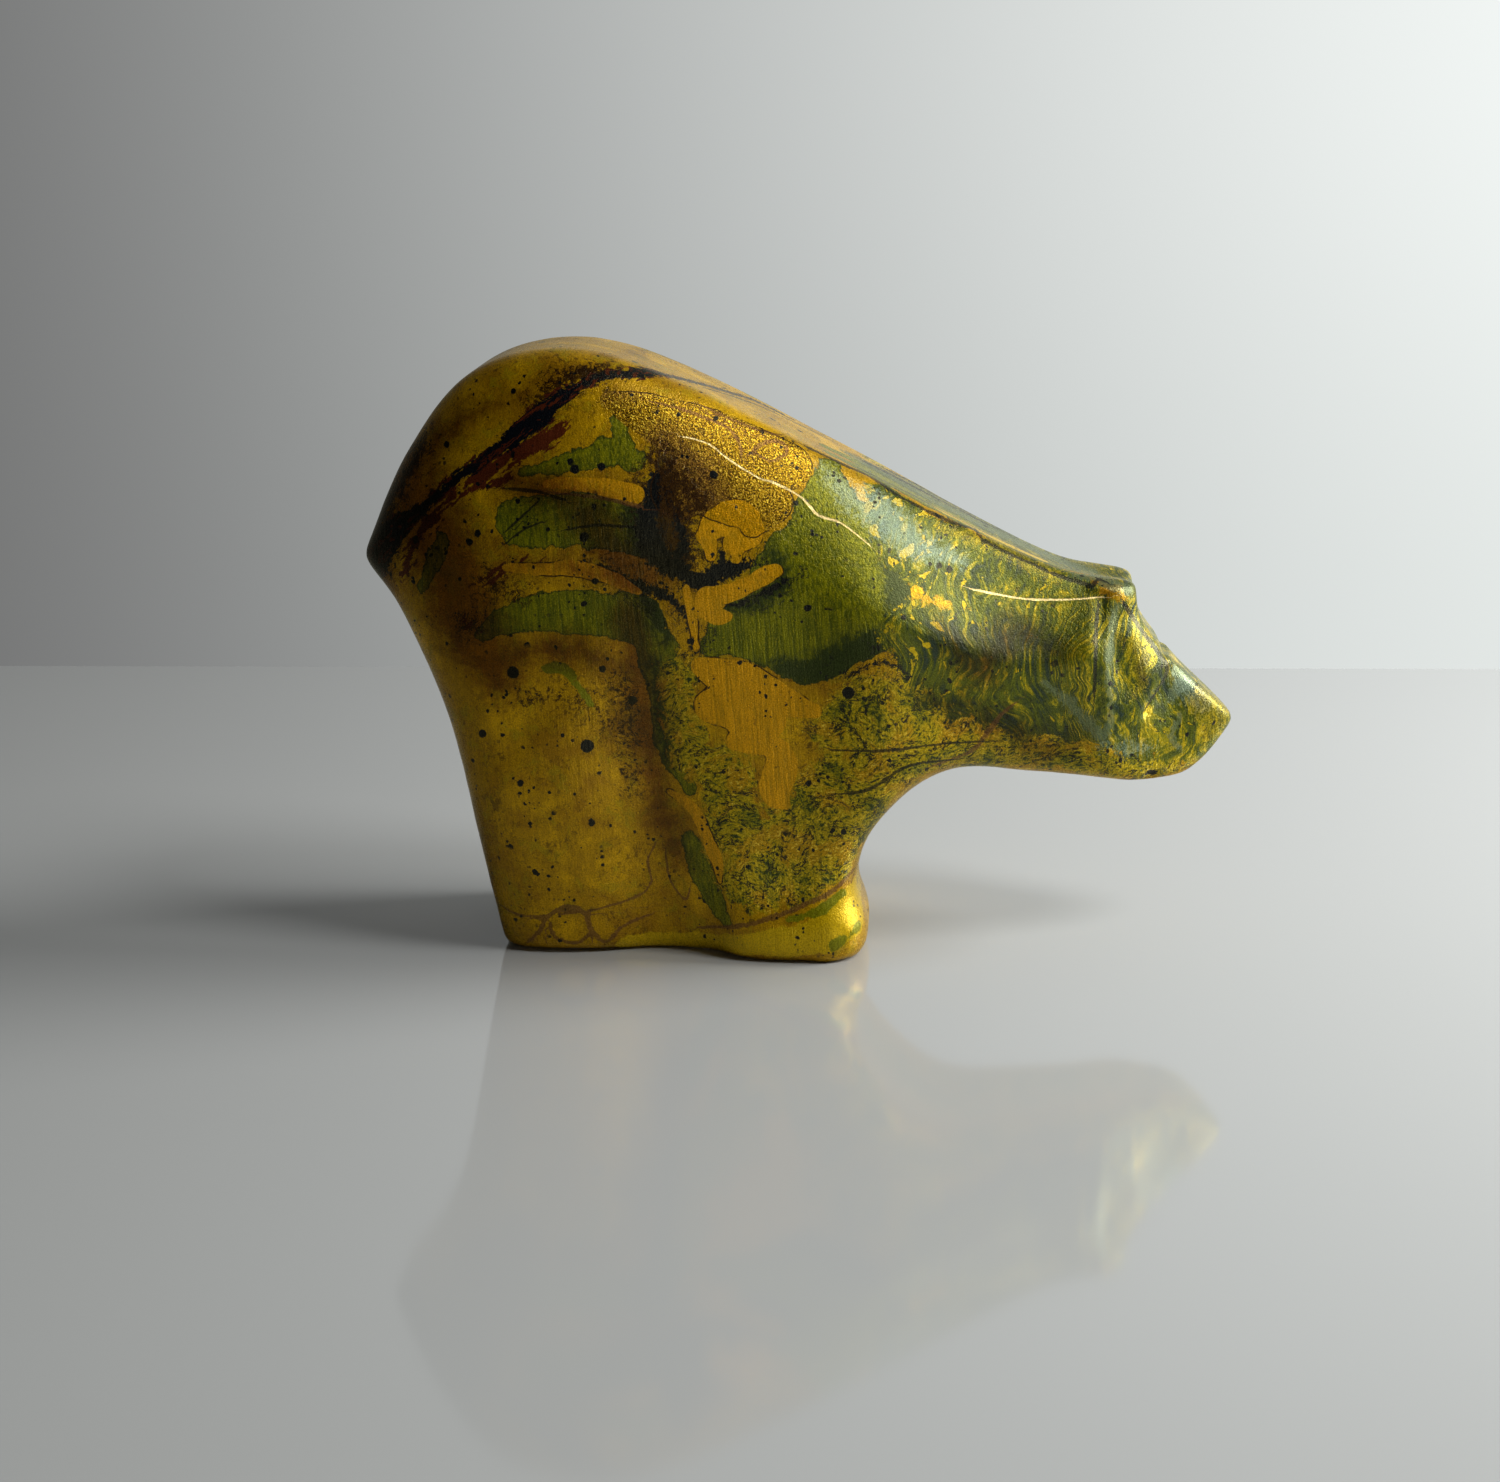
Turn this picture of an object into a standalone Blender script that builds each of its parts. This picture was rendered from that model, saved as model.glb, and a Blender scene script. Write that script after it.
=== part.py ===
"""A bear carved from one block of soapstone, on all fours with its head lowered.

The block is sawn to the side outline, and the flanks, back, legs, neck and head are then
filed across it by formulas. Metres, the nose towards +X, up is +Z, and the origin is on
the ground under the middle of the bear."""

import bmesh
import bpy
import numpy as np
from mathutils import Vector
from mathutils.geometry import interpolate_bezier

MM = 0.001

# The block that the bear is sawn from
LENGTH = 109.0 * MM
HEIGHT = 75.5 * MM
WIDTH = 38.0 * MM

# How finely the stone is worked
GRAIN = 0.8 * MM
FACETS = 9000
SHARP_ANGLE = np.radians(35.0)
BLANK_PASSES = 2
POLISH_PASSES = 3

# The side outline: share of the length from the tail, share of the height, corner or not
BACK = (
    (-0.004, 0.655, True),
    (0.055, 0.835, False),
    (0.129, 0.960, False),
    (0.229, 0.999, False),
    (0.332, 0.966, False),
    (0.553, 0.809, False),
    (0.788, 0.634, False),
    (0.884, 0.607, True),
)
FACE = (
    (0.884, 0.556, True),
    (0.907, 0.508, False),
    (0.934, 0.463, True),
    (1.004, 0.368, True),
    (0.963, 0.300, False),
    (0.925, 0.276, False),
)
THROAT = (
    (0.768, 0.298, False),
    (0.666, 0.309, False),
    (0.590, 0.225, False),
    (0.565, 0.125, False),
    (0.580, 0.045, False),
    (0.571, 0.000, True),
)
HAUNCH = (
    (0.152, 0.000, True),
    (0.135, 0.130, False),
    (0.098, 0.390, False),
    (0.041, 0.575, False),
)
CURVE_STEPS = 12

# The flanks: shares of the half width from tail to nose, and how much they crown and draw in
FLANK = (
    (0.00, 0.70),
    (0.08, 0.86),
    (0.20, 0.97),
    (0.50, 0.97),
    (0.62, 1.00),
    (0.70, 0.84),
    (0.78, 0.67),
    (0.90, 0.63),
)
CROWN = 0.06
HIND_DRAW = 0.15
HIND_END = 0.387

# The flat along the back, as shares of the half width, and the chamfer from it to the flank
RIDGE = ((0.0, 0.40), (0.20, 0.42), (0.45, 0.52), (0.70, 0.40), (0.88, 0.32))
REACH = ((0.0, 0.24), (0.25, 0.28), (0.45, 0.16), (0.62, 0.12), (0.80, 0.095), (0.88, 0.06))
ROUND = ((0.0, 2.2), (0.30, 2.0), (0.45, 1.3), (0.60, 1.1), (0.90, 1.05))
EDGE_BLEND = 0.8 * MM

# How the edges of the rump and of the throat and chest are taken off
EDGE_SHARE = 0.72
HAUNCH_REACH = 7.0 * MM
THROAT_REACH = 5.0 * MM

# The hollow between the legs
HOLLOW_PLACE = 0.338
HOLLOW_WIDTH = 6.5 * MM
HOLLOW_DEPTH = 2.4 * MM
HOLLOW_TOP = 0.62

# The front paw, the ankle over it, and the edge of the underside behind it
PAW_PLACE = 0.521
PAW_LENGTH = 9.0 * MM
PAW_HEIGHT = 8.0 * MM
PAW_SPREAD = 1.2 * MM
ANKLE_HEIGHT = 12.5 * MM
ANKLE_DEPTH = 0.8 * MM
FAR_PAW_BACK = 2.6 * MM
HEEL_LIFT = 0.9 * MM
GROUND_FLAT = 0.2 * MM

# The head: a plane filed forward from the ears, its half width there as a share of the stone's,
# how fast it narrows ahead of the ears and behind them, and how it leans in towards the brow
FACE_START = 0.853
FACE_HALF = 0.605
FACE_SLOPE = 0.60
FACE_STEP = 1.8
FACE_TILT = 0.28
FACE_TILT_HEIGHT = 31.0 * MM
EAR_PLACE = (0.860, 0.600)
EAR_SIZE = 2.4 * MM
EAR_SPREAD = 0.8 * MM
EAR_SADDLE = 0.8 * MM

# The muzzle: shares of the half width to the nose, wider at the jaw, and the brow's edge over its root
MUZZLE = ((0.858, 0.55), (0.897, 0.39), (0.917, 0.285), (0.937, 0.235), (0.967, 0.205), (1.006, 0.15))
JAW_TILT = 0.30
JAW_HEIGHT = 33.0 * MM
BROW_TIP = (0.933, 0.475)
BROW_END = (0.897, 0.412)
BROW_BLEND = 1.2 * MM


def place(share_along, share_up):
    """The point of the middle plane at these shares of the length and height."""
    return Vector(((share_along - 0.5) * LENGTH, 0.0, share_up * HEIGHT))


def side_outline(stations):
    """Points round the outline: a smooth station takes its slope from its neighbours."""
    knots = [place(along, up) for along, up, _ in stations]
    count = len(knots)
    points = []
    for i in range(count):
        here, there = knots[i], knots[(i + 1) % count]
        gap = (there - here).length / 3.0
        leave, arrive = (there - here).normalized(), (here - there).normalized()
        if not stations[i][2]:
            leave = (there - knots[i - 1]).normalized()
        if not stations[(i + 1) % count][2]:
            arrive = (here - knots[(i + 2) % count]).normalized()
        run = interpolate_bezier(here, here + gap * leave, there + gap * arrive, there, CURVE_STEPS)
        points += run[:-1]
    return points


def outline_runs(points):
    """The outline's points along the back, from the chin to the toe, and up the haunch."""
    per_station = CURVE_STEPS - 1
    ear = per_station * (len(BACK) - 1)
    chin = per_station * (len(BACK) + len(FACE) - 1)
    toe = chin + per_station * len(THROAT)
    heel = toe + per_station
    return {
        "back": points[: ear + 1],
        "throat": points[chin : toe + 1],
        "haunch": points[heel:] + points[:1],
    }


def smooth_run(stations, at):
    """Values between stations, on a cubic through them with the slopes of their neighbours."""
    places, values = np.array(stations, float).T
    slopes = np.gradient(values, places)
    at = np.clip(at, places[0], places[-1])
    left = np.clip(np.searchsorted(places, at) - 1, 0, len(places) - 2)
    gap = places[left + 1] - places[left]
    t = (at - places[left]) / gap
    start, end = values[left], values[left + 1]
    bend = slopes[left] * gap * t * (1 - t) ** 2 - slopes[left + 1] * gap * t**2 * (1 - t)
    return start + (end - start) * t * t * (3 - 2 * t) + bend


def lesser(a, b, blend):
    """The lesser of two widths, rounded over where they cross."""
    mix = np.clip(0.5 + 0.5 * (b - a) / blend, 0.0, 1.0)
    return b * (1 - mix) + a * mix - blend * mix * (1 - mix)


def fade(value, start, end):
    """One before start, nought past end, and smooth between."""
    t = np.clip((value - start) / (end - start), 0.0, 1.0)
    return 1.0 - t * t * (3 - 2 * t)


def depth_under(run, x, z):
    """How far each place of the side view is from a run of the outline."""
    starts = np.array([(p.x, p.z) for p in run])
    ends, starts = starts[1:], starts[:-1]
    here = np.stack([x, z], -1)[:, None, :]
    step = ends - starts
    t = ((here - starts) * step).sum(-1) / (step**2).sum(-1)
    nearest = starts + np.clip(t, 0.0, 1.0)[..., None] * step
    return np.linalg.norm(here - nearest, axis=-1).min(axis=1)


def flank_width(x, z):
    """Half the width of the body's sides, with the legs and the paw filed in."""
    along, up = x / LENGTH + 0.5, z / HEIGHT
    width = smooth_run(FLANK, along) * WIDTH / 2
    width = width * (1.0 - CROWN * (2.0 * up - 0.9) ** 2)
    hind = fade(along, HIND_END, HIND_END + 0.05)
    width = width * (1.0 - HIND_DRAW * hind * fade(up, 0.0, 0.3))
    across = (x - (HOLLOW_PLACE - 0.5) * LENGTH) / HOLLOW_WIDTH
    width = width - HOLLOW_DEPTH * np.exp(-(across**2)) * fade(up, 0.25, HOLLOW_TOP)
    from_paw = (x - (PAW_PLACE - 0.5) * LENGTH) / PAW_LENGTH
    ankle = ANKLE_DEPTH * np.exp(-(((z - ANKLE_HEIGHT) / (0.4 * ANKLE_HEIGHT)) ** 2))
    paw = PAW_SPREAD * fade(z, 0.5 * PAW_HEIGHT, PAW_HEIGHT)
    return width + (paw - ankle) * np.exp(-(from_paw**4))


def head_width(x, z):
    """Half the width of the face and muzzle."""
    along, up = x / LENGTH + 0.5, z / HEIGHT
    ahead = (along - FACE_START) * LENGTH
    face = FACE_HALF * WIDTH / 2 - np.where(ahead > 0, FACE_SLOPE, FACE_STEP) * ahead
    face = face - FACE_TILT * np.maximum(z - FACE_TILT_HEIGHT, 0.0)
    from_ear = np.hypot(x - (EAR_PLACE[0] - 0.5) * LENGTH, z - EAR_PLACE[1] * HEIGHT)
    face = face + EAR_SPREAD * np.exp(-((from_ear / EAR_SIZE) ** 2))
    muzzle = smooth_run(MUZZLE, along) * WIDTH / 2 + JAW_TILT * np.maximum(JAW_HEIGHT - z, 0.0)
    tip, end = place(*BROW_TIP), place(*BROW_END)
    edge = (tip - end).normalized()
    beyond = (x - end.x) * edge.z - (z - end.z) * edge.x
    past_brow = 1.0 - fade(beyond, 0.0, BROW_BLEND)
    return face + past_brow * (lesser(face, muzzle, EDGE_BLEND) - face)


def taken_off(x, z, run, reach):
    """The share of the width that is left near a run of the outline with its edges rounded off."""
    into = 1.0 - np.clip(depth_under(run, x, z) / reach, 0.0, 1.0)
    return EDGE_SHARE + (1.0 - EDGE_SHARE) * np.sqrt(1.0 - into**2)


def half_width(x, z, runs):
    """Half the bear's width at each place of the side view."""
    along = x / LENGTH + 0.5
    flank = flank_width(x, z)
    flank = flank * taken_off(x, z, runs["throat"], THROAT_REACH)
    flank = flank * taken_off(x, z, runs["haunch"], HAUNCH_REACH)
    ridge = smooth_run(RIDGE, along) * WIDTH / 2
    reach = smooth_run(REACH, along) * LENGTH
    power = smooth_run(ROUND, along)
    down = np.clip(depth_under(runs["back"], x, z) / reach, 0.0, 1.0)
    chamfer = ridge + (flank - ridge) * (1.0 - (1.0 - down) ** power) ** (1.0 / power)
    body = np.where(down < 1.0, lesser(chamfer, flank, EDGE_BLEND), flank)
    return lesser(body, head_width(x, z), EDGE_BLEND)


def sawn_block(points):
    """A closed block with the side outline, as wide as the stone."""
    form = bmesh.new()
    side = form.faces.new([form.verts.new((p.x, -WIDTH / 2, p.z)) for p in points])
    grown = bmesh.ops.extrude_face_region(form, geom=[side])
    moved = [v for v in grown["geom"] if isinstance(v, bmesh.types.BMVert)]
    bmesh.ops.translate(form, verts=moved, vec=(0.0, WIDTH, 0.0))
    bmesh.ops.recalc_face_normals(form, faces=form.faces)
    mesh = bpy.data.meshes.new("bear")
    form.to_mesh(mesh)
    form.free()
    bear = bpy.data.objects.new("bear", mesh)
    bpy.context.scene.collection.objects.link(bear)
    return bear


def worked(bear, *steps):
    """The bear with each modifier of steps carried out, in order."""
    for kind, settings in steps:
        modifier = bear.modifiers.new(kind.lower(), kind)
        for name, value in settings.items():
            setattr(modifier, name, value)
    shape = bpy.data.meshes.new_from_object(bear.evaluated_get(bpy.context.evaluated_depsgraph_get()))
    bear.modifiers.clear()
    bear.data = shape
    return bear


def saddle_ears(places):
    """A shallow dip across the head between the ears."""
    x, y, z = places.T
    from_ear = (x - (EAR_PLACE[0] - 0.5) * LENGTH) / (2 * EAR_SIZE)
    above = 1.0 - fade(z / HEIGHT, EAR_PLACE[1] - 0.06, EAR_PLACE[1] - 0.01)
    places[:, 2] -= EAR_SADDLE * above * np.exp(-(from_ear**2) - (y / EAR_SIZE) ** 2)


def set_back_far_paw(places):
    """The paw on the far side, which stands a little behind the near one."""
    x, y, z = places.T
    far = 1.0 - fade(y, -0.15 * WIDTH, 0.25 * WIDTH)
    front = 1.0 - fade(x, 0.0, (PAW_PLACE - 0.5) * LENGTH + PAW_LENGTH)
    places[:, 0] -= FAR_PAW_BACK * far * front * fade(z, PAW_HEIGHT, 2 * PAW_HEIGHT)


def lift_heel(places):
    """The underside's edges behind the paw lifted clear of the ground."""
    along = places[:, 0] / LENGTH + 0.5
    outward = 1.0 - fade(np.abs(places[:, 1]), 0.30 * WIDTH, 0.45 * WIDTH)
    near_ground = fade(places[:, 2], 0.0, 6 * HEEL_LIFT)
    behind = fade(along, HIND_END, HIND_END + 0.05)
    places[:, 2] += HEEL_LIFT * outward * near_ground * behind


def level_underside(places):
    """The underside rubbed flat where it rests on the ground."""
    places[places[:, 2] < GROUND_FLAT, 2] = 0.0


def reshaped(bear, *filings):
    """Each filing, in order, carried out on the places of the bear's vertices."""
    places = np.empty(len(bear.data.vertices) * 3)
    bear.data.vertices.foreach_get("co", places)
    places = places.reshape(-1, 3)
    for filing in filings:
        filing(places)
    bear.data.vertices.foreach_set("co", places.ravel())
    bear.data.update()


def stone_material():
    """Soapstone under a marbled green and ochre finish and a clear coat."""
    stone = bpy.data.materials.new("marbled soapstone")
    stone.use_nodes = True
    shader = stone.node_tree.nodes["Principled BSDF"]
    shader.inputs["Base Color"].default_value = (0.24, 0.18, 0.03, 1.0)
    shader.inputs["Roughness"].default_value = 0.28
    shader.inputs["Metallic"].default_value = 0.0
    return stone


def main():
    """Saws, files and polishes the bear."""
    for old in list(bpy.data.objects):
        bpy.data.objects.remove(old, do_unlink=True)
    points = side_outline(BACK + FACE + THROAT + HAUNCH)
    runs = outline_runs(points)
    bear = sawn_block(points)
    even_grain = ("REMESH", {"mode": "VOXEL", "voxel_size": GRAIN})
    worked(bear, even_grain, ("SMOOTH", {"factor": 0.5, "iterations": BLANK_PASSES}))

    def file_sides(places):
        places[:, 1] *= half_width(places[:, 0], places[:, 2], runs) / (WIDTH / 2)

    reshaped(bear, file_sides, saddle_ears, set_back_far_paw, lift_heel)
    worked(bear, even_grain, ("SMOOTH", {"factor": 0.5, "iterations": POLISH_PASSES}))
    reshaped(bear, level_underside)
    worked(bear, ("DECIMATE", {"ratio": FACETS / (2 * len(bear.data.polygons))}))
    reshaped(bear, level_underside)
    bear.data.materials.append(stone_material())
    bear.data.shade_smooth()
    bear.data.set_sharp_from_angle(angle=SHARP_ANGLE)


main()
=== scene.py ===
"""A soapstone bear under a marbled paint finish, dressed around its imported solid.

Everything is in metres in the solid's own frame: the nose towards +X, up +Z, and the ground at
nought. The paint's places are in millimetres, because they were measured on the stone.
"""

import logging
from dataclasses import dataclass, field
from enum import Enum
from typing import Any, Callable, Sequence, Union

import bpy
import numpy as np
from mathutils import Matrix, Vector, noise
from mathutils.bvhtree import BVHTree


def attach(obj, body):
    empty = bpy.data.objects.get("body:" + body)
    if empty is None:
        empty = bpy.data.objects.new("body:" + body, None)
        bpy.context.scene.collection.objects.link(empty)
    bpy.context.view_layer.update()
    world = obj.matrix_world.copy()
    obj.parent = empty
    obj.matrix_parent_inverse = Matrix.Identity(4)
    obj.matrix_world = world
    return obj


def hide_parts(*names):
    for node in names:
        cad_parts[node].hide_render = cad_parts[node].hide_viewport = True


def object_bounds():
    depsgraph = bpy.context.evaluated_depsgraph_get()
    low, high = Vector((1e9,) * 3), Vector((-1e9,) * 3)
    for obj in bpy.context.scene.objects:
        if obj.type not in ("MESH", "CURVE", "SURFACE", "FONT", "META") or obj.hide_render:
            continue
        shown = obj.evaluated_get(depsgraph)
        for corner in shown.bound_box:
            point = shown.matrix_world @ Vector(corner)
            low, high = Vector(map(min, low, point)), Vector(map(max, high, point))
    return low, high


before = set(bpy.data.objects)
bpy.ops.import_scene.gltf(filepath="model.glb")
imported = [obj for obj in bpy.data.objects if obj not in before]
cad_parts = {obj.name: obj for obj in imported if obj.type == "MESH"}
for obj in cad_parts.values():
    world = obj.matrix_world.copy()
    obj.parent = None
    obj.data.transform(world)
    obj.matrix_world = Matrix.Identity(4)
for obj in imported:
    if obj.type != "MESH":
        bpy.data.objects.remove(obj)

LOG = logging.getLogger("bear")
MM = 0.001
CAD_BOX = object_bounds()
# Farther than any place on the stone, in millimetres or in half widths of a line
FAR_AWAY = 1e3

Socket = bpy.types.NodeSocket
Value = Union[Socket, float, Sequence[float]]
Point = tuple[float, float, float]
Range = tuple[float, float]
Colour = tuple[float, float, float, float]


class Side(Enum):
    """From which side a stroke of paint is laid on the stone: its ray's start and direction."""

    NEAR = (Vector((0.0, -0.1, 0.0)), Vector((0.0, 1.0, 0.0)))
    FAR = (Vector((0.0, 0.1, 0.0)), Vector((0.0, -1.0, 0.0)))
    TOP = (Vector((0.0, 0.0, 0.2)), Vector((0.0, 0.0, -1.0)))
    UNDER = (Vector((0.0, 0.0, -0.1)), Vector((0.0, 0.0, 1.0)))


class Paint(Enum):
    """The layers of the finish. The value is the name of the attribute that holds the layer."""

    # Painted shade: darkens the paint where the stone lies in shade.
    SHADE = "shade"
    MOSS = "moss"
    # Darker green: partly the paint's own dark green, partly painted shade along lower edges and in the
    # hollow.
    DUSK = "dusk"
    MOTTLE = "mottle"
    SWIRL = "swirl"
    # Grey-green: painted reflection on the muzzle's top facet, the ear and the nape, and grey-green paint on
    # the cheek, under the brow and on the beard.
    SLATE = "slate"
    # Painted highlight: a pale grey-green sheen on the chamfer, the muzzle and the jaw.
    PALE = "pale"
    LEMON = "lemon"
    GILT = "gilt"
    FLECK = "fleck"
    UMBER = "umber"
    MAROON = "maroon"
    AMBER = "amber"
    LEAF = "leaf"
    NAVY = "navy"
    VEIN = "vein"
    DROP = "drop"
    THREAD = "thread"
    INK = "ink"
    SCRATCH = "scratch"

    @property
    def is_line(self) -> bool:
        """Whether the layer holds thin lines, whose attribute changes sign across the line."""
        return self in (Paint.THREAD, Paint.INK, Paint.SCRATCH)


def linear(red: int, green: int, blue: int) -> Colour:
    """A colour as the shader takes it.

    Args:
        red: The red, from 0 to 255 as seen on a screen.
        green: The green.
        blue: The blue.

    Returns:
        The linear colour, with an alpha of one.
    """
    parts = [((c / 255 + 0.055) / 1.055) ** 2.4 if c > 10 else c / 255 / 12.92 for c in (red, green, blue)]
    return (parts[0], parts[1], parts[2], 1.0)


@dataclass(frozen=True)
class Stroke:
    """One stroke or pool of paint: points laid on the stone in millimetres, each with a radius.

    The two places of a point are along and up for the near and far side, and along and across
    for the top and the underside.
    """

    name: str
    paint: Paint
    side: Side
    points: tuple[Point, ...]


@dataclass(frozen=True)
class MarbledFinish:
    """The colours and the shine of the marbled paint.

    The roughness is that of the satin gloss between its brighter and duller specks. Mica says
    how metallic the paint looks, and gilt_mica what gold adds to that. The painted shade
    darkens the paint in hollows and on the shaded parts, and the glint tints its highlights.
    """

    bronze: Colour = linear(150, 108, 2)
    sand: Colour = linear(172, 130, 2)
    ochre: Colour = linear(198, 152, 2)
    honey: Colour = linear(202, 144, 3)
    lemon: Colour = linear(192, 158, 4)
    straw: Colour = linear(240, 210, 70)
    citron: Colour = linear(172, 146, 8)
    olive: Colour = linear(134, 122, 8)
    moss: Colour = linear(120, 118, 6)
    fern: Colour = linear(84, 90, 10)
    pine: Colour = linear(40, 52, 18)
    umber: Colour = linear(44, 20, 5)
    maroon: Colour = linear(84, 34, 14)
    brown: Colour = linear(96, 60, 34)
    navy: Colour = linear(8, 12, 20)
    teal: Colour = linear(26, 44, 36)
    # Painted highlight: the colour of the painted sheen.
    painted_sheen_colour: Colour = linear(136, 156, 138)
    # Grey-green of the painted reflection and of the grey-green paint.
    slate: Colour = linear(86, 98, 68)
    cream: Colour = linear(236, 208, 140)
    roughness: float = 0.28
    mica: float = 0.3
    gilt_mica: float = 0.3
    # Painted shade: the darkest tint laid over the paint where the stone lies in shade.
    painted_shade: Colour = linear(140, 112, 92)
    glint: Colour = (1.0, 0.92, 0.45, 1.0)
    specular: float = 0.42
    bump_strength: float = 0.5
    bump_depth: float = 0.15 * MM


class NodeBoard:
    """A short way to lay out and join the nodes of a material or a world."""

    def __init__(self, owner: Union[bpy.types.Material, bpy.types.World]) -> None:
        """Clears the owner's own nodes.

        Args:
            owner: The material or the world to build.
        """
        owner.use_nodes = True
        self.tree = owner.node_tree
        self.tree.nodes.clear()

    def node(self, kind: str, inputs: dict[Any, Value], **settings: Any) -> bpy.types.Node:
        """Adds a node.

        Args:
            kind: The node's Blender type.
            inputs: Values or sockets for its inputs, by name or number.
            settings: Values for the node's own settings.

        Returns:
            The node.
        """
        made = self.tree.nodes.new(kind)
        for name, value in settings.items():
            setattr(made, name, value)
        for name, value in inputs.items():
            if isinstance(value, Socket):
                self.tree.links.new(value, made.inputs[name])
            else:
                made.inputs[name].default_value = value
        return made

    def math(self, operation: str, a: Value, b: Value = 0.0, c: Value = 0.0) -> Socket:
        """The result of a math node on a, b and c."""
        return self.node("ShaderNodeMath", {0: a, 1: b, 2: c}, operation=operation).outputs[0]

    def vector(self, operation: str, a: Value, b: Value) -> Socket:
        """The vector result of a vector math node on a and b."""
        return self.node("ShaderNodeVectorMath", {0: a, 1: b}, operation=operation).outputs[0]

    def step(self, value: Value, low: float, high: float) -> Socket:
        """Nought below low, one above high, and smooth between."""
        inputs = {0: value, 1: low, 2: high}
        return self.node("ShaderNodeMapRange", inputs, interpolation_type="SMOOTHSTEP").outputs[0]

    def mix(self, factor: Value, a: Value, b: Value) -> Socket:
        """Colour a where factor is nought and b where it is one."""
        return self.node("ShaderNodeMix", {0: factor, 6: a, 7: b}, data_type="RGBA").outputs[2]

    def grain(self, at: Socket, per_mm: float, detail: float = 2.0, rough: float = 0.5) -> bpy.types.Node:
        """A noise node.

        Args:
            at: The coordinates, in millimetres.
            per_mm: How many bumps it has in a millimetre.
            detail: How many finer layers it has.
            rough: How strong the finer layers are.

        Returns:
            The node, whose outputs are its value and its colour.
        """
        inputs = {"Vector": at, "Scale": per_mm, "Detail": detail, "Roughness": rough}
        return self.node("ShaderNodeTexNoise", inputs)

    def field(self, name: str) -> Socket:
        """The value of the piece's own attribute of that name."""
        return self.node("ShaderNodeAttribute", {}, attribute_name=name).outputs["Fac"]

    def stretched(self, at: Socket, turn: float, scale: Sequence[float]) -> Socket:
        """Coordinates turned about the Y axis and scaled.

        Args:
            at: The coordinates.
            turn: The turn in degrees.
            scale: The scale along each axis after the turn.

        Returns:
            The new coordinates.
        """
        turned = self.node("ShaderNodeVectorRotate", {"Vector": at, "Angle": np.radians(turn)},
                           rotation_type="Y_AXIS").outputs[0]
        return self.vector("MULTIPLY", turned, scale)


@dataclass(frozen=True)
class Lamp:
    """One soft light: its place and size in metres and its power in watts."""

    name: str
    place: Point
    size: float
    power: float


LAMPS = (
    Lamp("upper right", (0.29, -0.16, 0.42), 0.18, 1.3),
    Lamp("window", (0.44, 0.07, 0.22), 0.26, 3.8),
    Lamp("low front", (0.30, -0.70, 0.05), 0.25, 0.65),
)


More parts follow.
